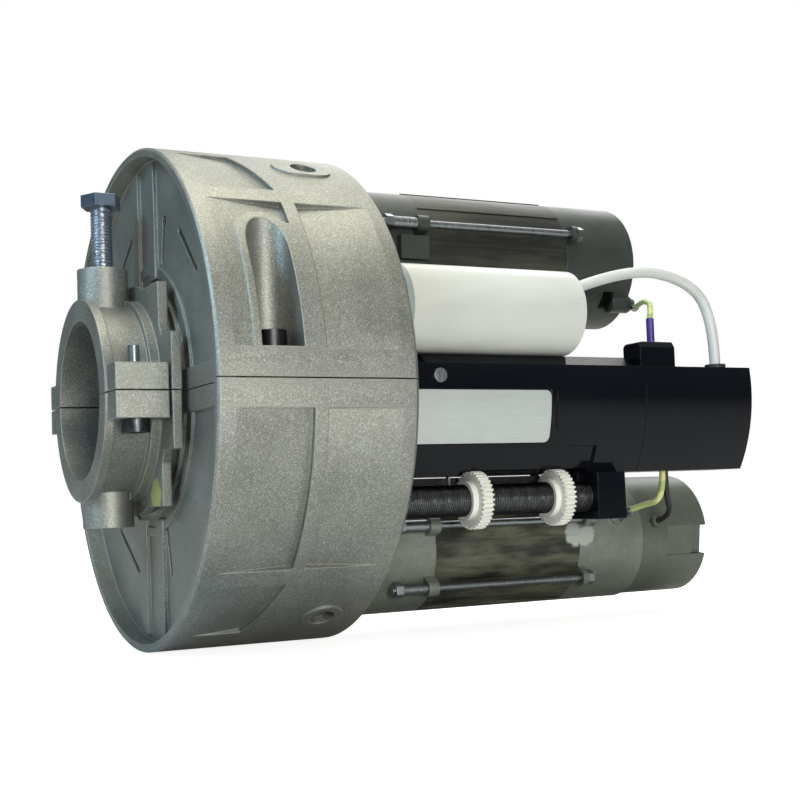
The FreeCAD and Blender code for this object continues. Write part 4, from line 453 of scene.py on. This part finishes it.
# Nodes whose finish differs from the one of their slot
OWN_FINISH = {
    "gearbox_body": "marked_casting", "clamp_cap": "marked_casting", "clamp_screws": "clamp_screw",
    "shaft_lock_bolt": "lock_bolt", "upper_rear_bell": "dark_bell", "upper_front_bell": "dark_bell",
    "lower_rear_bell": "marked_bell", "brake_cap": "cap_casting",
}


def slot_of(node):
    """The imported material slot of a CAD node."""
    return NODES[node].data.materials[0].name.split(".")[0]


class DressNodes(bpy.types.Operator):
    """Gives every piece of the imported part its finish"""
    bl_idname = "shutter_motor.dress_nodes"
    bl_label = "Dress the built pieces"

    def execute(self, context):
        make_finishes(context.scene.motor_finishes)
        for node, piece in NODES.items():
            own = slot_of(node)
            for slot in piece.material_slots:
                slot.material = finishes[OWN_FINISH.get(node, own)]
        return {"FINISHED"}


def linked(name, data):
    """A new object in the scene with this data."""
    item = bpy.data.objects.new(name, data)
    bpy.context.scene.collection.objects.link(item)
    return item


# Cords
def metres(route):
    return [tuple(v * MM for v in point) for point in route]


def nurbs(name, route, diameter, finish):
    """A smooth tube on a NURBS line whose control points are the route's."""
    curve = bpy.data.curves.new(name, "CURVE")
    curve.dimensions = "3D"
    curve.bevel_depth = diameter / 2
    curve.bevel_resolution = 6
    curve.resolution_u = 16
    curve.use_fill_caps = True
    spline = curve.splines.new("NURBS")
    points = metres(route)
    spline.points.add(len(points) - 1)
    for point, place in zip(spline.points, points):
        point.co = (*place, 1.0)
    spline.order_u = 3
    spline.use_endpoint_u = True
    curve.materials.append(finish)
    return linked(name, curve)


CORDS = (
    # name, route, replaced node, diameter, length, finish, stiffness
    ("capacitor_cable", CAPACITOR_ROUTE, "capacitor_lead", 0.0057, 0.1262, "lead_grey", "medium"),
    ("upper_earth_lead", UPPER_EARTH_ROUTE, "upper_earth_wire", 0.0030, 0.0471, "earth_green_yellow",
     "limp"),
    ("lower_earth_lead", LOWER_EARTH_ROUTE, "lower_earth_wire", 0.0033, 0.0317, "earth_green_yellow",
     "limp"),
    ("brake_lead", BRAKE_ROUTE, "brake_cord", 0.0030, 0.0363, "black_rubber", "limp"),
)


class LayCords(bpy.types.Operator):
    """Lays the capacitor lead, the earth wires and the brake lead along their routes"""
    bl_idname = "shutter_motor.lay_cords"
    bl_label = "Lay the cords"

    def execute(self, context):
        for name, route, node, diameter, length, finish, stiffness in CORDS:
            piece = nurbs(name, route, diameter, finishes[finish])
            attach(piece, "gearbox")
            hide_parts(node)
        return {"FINISHED"}


# Geometry Nodes
class Tree(Wiring):
    """A node tree of geometry, with named inputs that are set by their identifiers."""

    def __init__(self, name, inputs):
        self.tree = bpy.data.node_groups.new(name, "GeometryNodeTree")
        super().__init__(self.tree)
        sockets = self.tree.interface
        sockets.new_socket("Geometry", in_out="OUTPUT", socket_type="NodeSocketGeometry")
        self.names = {}
        for label, kind in {**inputs, "Material": "Material"}.items():
            socket = sockets.new_socket(label, in_out="INPUT", socket_type=f"NodeSocket{kind}")
            self.names[label] = socket.identifier
        self.source = self.node("NodeGroupInput")
        self.end = self.node("NodeGroupOutput")

    def get(self, label):
        return self.source.outputs[label]

    def vector(self, x=0.0, y=0.0, z=0.0):
        return self.node("ShaderNodeCombineXYZ", {"X": x, "Y": y, "Z": z}).outputs[0]

    def close(self, geometry):
        """Ends the tree in Realize Instances and Set Material."""
        real = self.node("GeometryNodeRealizeInstances", {"Geometry": geometry})
        painted = self.node("GeometryNodeSetMaterial", {
            "Geometry": real.outputs["Geometry"], "Material": self.get("Material"),
        })
        self.feed(self.end.inputs["Geometry"], painted.outputs["Geometry"])

    def grow(self, name, body, slot, values, crease=None):
        """Runs the tree with these values and keeps its result as a plain mesh on one body."""
        host = linked(name, bpy.data.meshes.new(name))
        modifier = host.modifiers.new("Build", "NODES")
        modifier.node_group = self.tree
        for label, value in values.items():
            modifier[self.names[label]] = value
        modifier[self.names["Material"]] = finishes[slot]
        graph = bpy.context.evaluated_depsgraph_get()
        mesh = bpy.data.meshes.new_from_object(host.evaluated_get(graph))
        host.modifiers.clear()
        host.data = mesh
        mesh.name = name
        if crease is not None:
            mesh.set_sharp_from_angle(angle=math.radians(crease))
        if not mesh.vertices:
            raise RuntimeError(f"{name} came out empty")
        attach(host, body)


def thread_tree():
    """A thread's ridge: a helix with a blunt ridge swept along it, on a rod along X or Z."""
    t = Tree("ThreadRidge", {
        "Radius": "Float", "Pitch": "Float", "Length": "Float", "Ridge": "Float",
        "Turn": "Vector", "Place": "Vector",
    })
    turns = t.maths("DIVIDE", t.get("Length"), t.get("Pitch"))
    helix = t.node("GeometryNodeCurveSpiral", {
        "Resolution": 24, "Rotations": turns, "Start Radius": t.get("Radius"),
        "End Radius": t.get("Radius"), "Height": t.get("Length"),
    })
    ridge = t.node("GeometryNodeCurvePrimitiveCircle", {"Resolution": 6, "Radius": t.get("Ridge")})
    swept = t.node("GeometryNodeCurveToMesh", {
        "Curve": helix.outputs["Curve"], "Profile Curve": ridge.outputs["Curve"], "Fill Caps": True,
    })
    moved = t.node("GeometryNodeTransform", {
        "Geometry": swept.outputs["Mesh"], "Translation": t.get("Place"), "Rotation": t.get("Turn"),
    })
    t.close(moved.outputs["Geometry"])
    return t


class CutThreads(bpy.types.Operator):
    """Winds the threads of the limit spindle and of the shaft lock bolt"""
    bl_idname = "shutter_motor.cut_threads"
    bl_label = "Cut the threads"

    def execute(self, context):
        sizes = context.scene.motor_sizes
        tree = thread_tree()
        tree.grow("spindle_thread", "limit_spindle", "dark_steel", {
            "Radius": SPINDLE_RADIUS, "Pitch": sizes.spindle_pitch, "Length": SPINDLE_LENGTH,
            "Ridge": sizes.spindle_crest, "Turn": (0, math.pi / 2, 0), "Place": SPINDLE_PLACE,
        }, THREAD_CREASE)
        tree.grow("lock_bolt_thread", "shaft_lock_bolt", "zinc_steel", {
            "Radius": BOLT_RADIUS, "Pitch": sizes.bolt_pitch, "Length": BOLT_LENGTH,
            "Ridge": sizes.bolt_crest, "Turn": (0, 0, 0), "Place": BOLT_PLACE,
        }, THREAD_CREASE)
        return {"FINISHED"}


# Thin plates on the curved front of the switch box
def arc_plate(name, x, z, radius, thickness, corner, rows=26):
    """Round-cornered sheet of a given thickness bent round the shaft axis."""
    mesh = bpy.data.meshes.new(name)
    build = bmesh.new()
    rings = []
    for n in range(rows + 1):
        share = 0.5 - 0.5 * math.cos(math.pi * n / rows)
        height = z[0] + (z[1] - z[0]) * share
        near = min(height - z[0], z[1] - height)
        short = max(0.0, corner - near)
        inset = corner - math.sqrt(max(0.0, corner ** 2 - short ** 2))
        turn = math.asin(height / radius)
        ring = []
        for side, reach in (
            (x[0] + inset, radius), (x[1] - inset, radius),
            (x[1] - inset, radius + thickness), (x[0] + inset, radius + thickness),
        ):
            ring.append(build.verts.new((side, -reach * math.cos(turn), reach * math.sin(turn))))
        rings.append(ring)
    for low, high in zip(rings, rings[1:]):
        for n in range(4):
            build.faces.new((low[n], low[(n + 1) % 4], high[(n + 1) % 4], high[n]))
    build.faces.new(rings[0])
    build.faces.new(rings[-1])
    bmesh.ops.recalc_face_normals(build, faces=build.faces)
    build.to_mesh(mesh)
    build.free()
    return linked(name, mesh)


PLATES = (
    # name, x, z, radius, thickness, corner, finish, replaced node
    ("rating_foil", (0.111, 0.187), (-0.026, -0.0008), 0.0797, 0.0005, 0.0030, "label_silver",
     "rating_plate"),
    ("cover_panel", (0.1905, 0.2420), (-0.0200, -0.0008), 0.0798, 0.0006, 0.0018, "black_plastic", None),
)


class LayPlates(bpy.types.Operator):
    """Lays the bare rating plate and the raised panel on the switch box"""
    bl_idname = "shutter_motor.lay_plates"
    bl_label = "Lay the plates"

    def execute(self, context):
        for name, x, z, radius, thickness, corner, finish, node in PLATES:
            piece = arc_plate(name, x, z, radius, thickness, corner)
            piece.data.materials.append(finishes[finish])
            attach(piece, "gearbox")
            if node:
                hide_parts(node)
        return {"FINISHED"}


def ridge_tree():
    """Bars set evenly round an axis along X."""
    t = Tree("CoreRidges", {
        "Count": "Int", "Radius": "Float", "Start": "Float", "Length": "Float", "Width": "Float",
        "Height": "Float", "Centre": "Float", "First": "Float",
    })
    sides = t.vector(t.get("Length"), t.get("Width"), t.maths("MULTIPLY", t.get("Height"), 2.0))
    bar = t.node("GeometryNodeMeshCube", {"Size": sides})
    line = t.node("GeometryNodeMeshLine", {"Count": t.get("Count"), "Offset": (0, 0, 0)})
    index = t.node("GeometryNodeInputIndex")
    step = t.maths("DIVIDE", 2 * math.pi, t.get("Count"))
    angle = t.maths("ADD", t.get("First"), t.maths("MULTIPLY", index.outputs[0], step))
    along = t.maths("ADD", t.get("Start"), t.maths("MULTIPLY", t.get("Length"), 0.5))
    side = t.maths("MULTIPLY", t.get("Radius"), t.maths("COSINE", angle))
    rise = t.maths("MULTIPLY", t.get("Radius"), t.maths("SINE", angle))
    spot = t.vector(along, t.maths("MULTIPLY", side, -1.0), t.maths("ADD", t.get("Centre"), rise))
    laid = t.node("GeometryNodeSetPosition", {"Geometry": line.outputs[0], "Position": spot})
    bars = t.node("GeometryNodeInstanceOnPoints", {
        "Points": laid.outputs[0], "Instance": bar.outputs["Mesh"],
        "Rotation": t.vector(t.maths("SUBTRACT", math.pi / 2, angle)),
    })
    t.close(bars.outputs[0])
    return t


class SetRidges(bpy.types.Operator):
    """Sets the lengthwise ridges on both motor cores"""
    bl_idname = "shutter_motor.set_ridges"
    bl_label = "Set the core ridges"

    def execute(self, context):
        tree = ridge_tree()
        for name, centre in (("upper_core_ridges", MOTOR_OFFSET), ("lower_core_ridges", -MOTOR_OFFSET)):
            tree.grow(name, "gearbox", "lacquered_core", {
                "Count": RIDGE_COUNT, "Radius": CORE_RADIUS, "Start": CORE_START, "Length": CORE_LENGTH,
                "Width": RIDGE_WIDTH, "Height": RIDGE_HEIGHT, "Centre": centre, "First": RIDGE_FIRST,
            })
        return {"FINISHED"}


# Stage
def plane(name, height, reach, finish):
    mesh = bpy.data.meshes.new(name)
    corners = [(x * reach, y * reach, height) for x, y in ((-1, -1), (1, -1), (1, 1), (-1, 1))]
    mesh.from_pydata(corners, [], [(0, 1, 2, 3)])
    mesh.materials.append(finish)
    return linked(name, mesh)


def floor_finish(white):
    """Pale floor: white to the camera, with the object's shadow kept."""
    f = Finish("studio_floor")
    grain = f.noise(0.05, 2.0)
    tone = f.blend(grain, (0.68, 0.68, 0.67, 1), (0.72, 0.72, 0.71, 1))
    f.set(Base_Color=tone, Roughness=0.9, Specular_IOR_Level=0.0)
    ways = f.node("ShaderNodeLightPath")
    seen = f.maths("MAXIMUM", ways.outputs["Is Camera Ray"], ways.outputs["Is Transmission Ray"])
    glow = f.node("ShaderNodeEmission", {
        "Color": (1, 1, 1, 1), "Strength": f.maths("MULTIPLY", seen, white),
    })
    both = f.node("ShaderNodeAddShader")
    f.feed(both.inputs[0], f.shader.outputs[0])
    f.feed(both.inputs[1], glow.outputs[0])
    f.feed(f.nodes["Material Output"].inputs["Surface"], both.outputs[0])
    return f.material


LAMPS = (
    # name, place, aim, width, watts, tint
    ("top_panel", (0.10, -0.12, 1.15), (0.12, 0, 0), 0.8, 12.5, (1.0, 0.95, 0.80)),
    ("front_panel", (-0.05, -1.35, -0.05), (0.10, 0, -0.03), 0.5, 17.0, (1.0, 0.985, 0.93)),
    ("left_panel", (-1.15, -0.35, 0.75), (0.0, 0, 0.05), 0.6, 15.0, (0.50, 0.76, 1.0)),
    ("back_panel", (0.9, 0.8, 0.9), (0.15, 0, 0), 0.9, 7.0, (1.0, 1.0, 1.0)),
)


def aim(item, place, target):
    item.location = place
    item.rotation_mode = "QUATERNION"
    item.rotation_quaternion = (Vector(target) - Vector(place)).to_track_quat("-Z", "Y")


class SetStage(bpy.types.Operator):
    """Sets the floor, the soft lamps, the surroundings and the camera"""
    bl_idname = "shutter_motor.set_stage"
    bl_label = "Set the stage"

    def execute(self, context):
        scene = context.scene
        floor = plane("studio_floor", FLOOR_HEIGHT, FLOOR_REACH, floor_finish(FLOOR_GLOW))
        for name, place, target, width, watts, tint in LAMPS:
            data = bpy.data.lights.new(name, "AREA")
            data.shape = "SQUARE"
            data.size = width
            data.energy = watts
            data.color = tint
            aim(linked(name, data), place, target)
        self.surroundings(scene)
        self.camera(scene)
        scene.view_settings.view_transform = "Standard"
        return {"FINISHED"}

    def surroundings(self, scene):
        world = bpy.data.worlds.new("studio")
        scene.world = world
        world.use_nodes = True
        w = Wiring(world.node_tree)
        w.nodes.clear()
        ways = w.node("ShaderNodeLightPath")
        place = w.node("ShaderNodeTexCoord")
        split = w.node("ShaderNodeSeparateXYZ", {"Vector": place.outputs["Generated"]})
        ramp = w.node("ShaderNodeValToRGB", {"Fac": split.outputs["Z"]})
        stops = ramp.color_ramp.elements
        stops[0].position, stops[0].color = 0.0, (0.06, 0.07, 0.07, 1)
        stops[1].position, stops[1].color = 0.75, (0.95, 0.95, 0.9, 1)
        stops.new(0.25).color = (0.26, 0.28, 0.29, 1)
        white = w.node("ShaderNodeBackground", {"Color": (1, 1, 1, 1)})
        soft = w.node("ShaderNodeBackground", {"Color": ramp.outputs["Color"], "Strength": WORLD_STRENGTH})
        pick = w.node("ShaderNodeMixShader")
        chosen = (ways.outputs["Is Camera Ray"], soft.outputs[0], white.outputs[0])
        for socket, value in zip(pick.inputs, chosen):
            w.feed(socket, value)
        w.node("ShaderNodeOutputWorld", {"Surface": pick.outputs[0]})

    def camera(self, scene):
        data = bpy.data.cameras.new("photo_camera")
        data.sensor_width = CAMERA_SENSOR
        data.lens = CAMERA_LENS
        data.shift_x, data.shift_y = CAMERA_SHIFT
        data.clip_start, data.clip_end = 0.05, 40
        camera = linked("photo_camera", data)
        yaw, pitch, roll = (math.radians(v) for v in (CAMERA_YAW, CAMERA_PITCH, CAMERA_ROLL))
        ahead = Vector((
            math.sin(yaw) * math.cos(pitch), math.cos(yaw) * math.cos(pitch), math.sin(pitch),
        ))
        level = ahead.cross(Vector((0, 0, 1))).normalized()
        over = level.cross(ahead)
        right = math.cos(roll) * level + math.sin(roll) * over
        up = -math.sin(roll) * level + math.cos(roll) * over
        turn = Matrix((right, up, -ahead)).transposed()
        camera.matrix_world = Matrix.Translation(Vector(CAMERA_PLACE) * MM) @ turn.to_4x4()
        scene.camera = camera


OPERATORS = (SetStage, DressNodes, LayCords, LayPlates, CutThreads, SetRidges)


class MotorPanel(bpy.types.Panel):
    """Lists the colours, the sizes and the steps of the motor"""
    bl_idname = "VIEW3D_PT_shutter_motor"
    bl_label = "Shutter Motor"
    bl_space_type = "VIEW_3D"
    bl_region_type = "UI"
    bl_category = "Shutter Motor"

    def draw(self, context):
        for group in (context.scene.motor_finishes, context.scene.motor_sizes):
            for key in group.bl_rna.properties.keys():
                if key not in {"rna_type", "name"}:
                    self.layout.prop(group, key)
        for operator in OPERATORS:
            self.layout.operator(operator.bl_idname)


CLASSES = (MotorFinishes, MotorSizes, *OPERATORS, MotorPanel)


def register():
    for cls in CLASSES:
        bpy.utils.register_class(cls)
    bpy.types.Scene.motor_finishes = bpy.props.PointerProperty(type=MotorFinishes)
    bpy.types.Scene.motor_sizes = bpy.props.PointerProperty(type=MotorSizes)


def unregister():
    del bpy.types.Scene.motor_sizes
    del bpy.types.Scene.motor_finishes
    for cls in reversed(CLASSES):
        bpy.utils.unregister_class(cls)


def main():
    register()
    for operator in OPERATORS:
        group, name = operator.bl_idname.split(".")
        getattr(getattr(bpy.ops, group), name)()


if __name__ == "__main__":
    main()
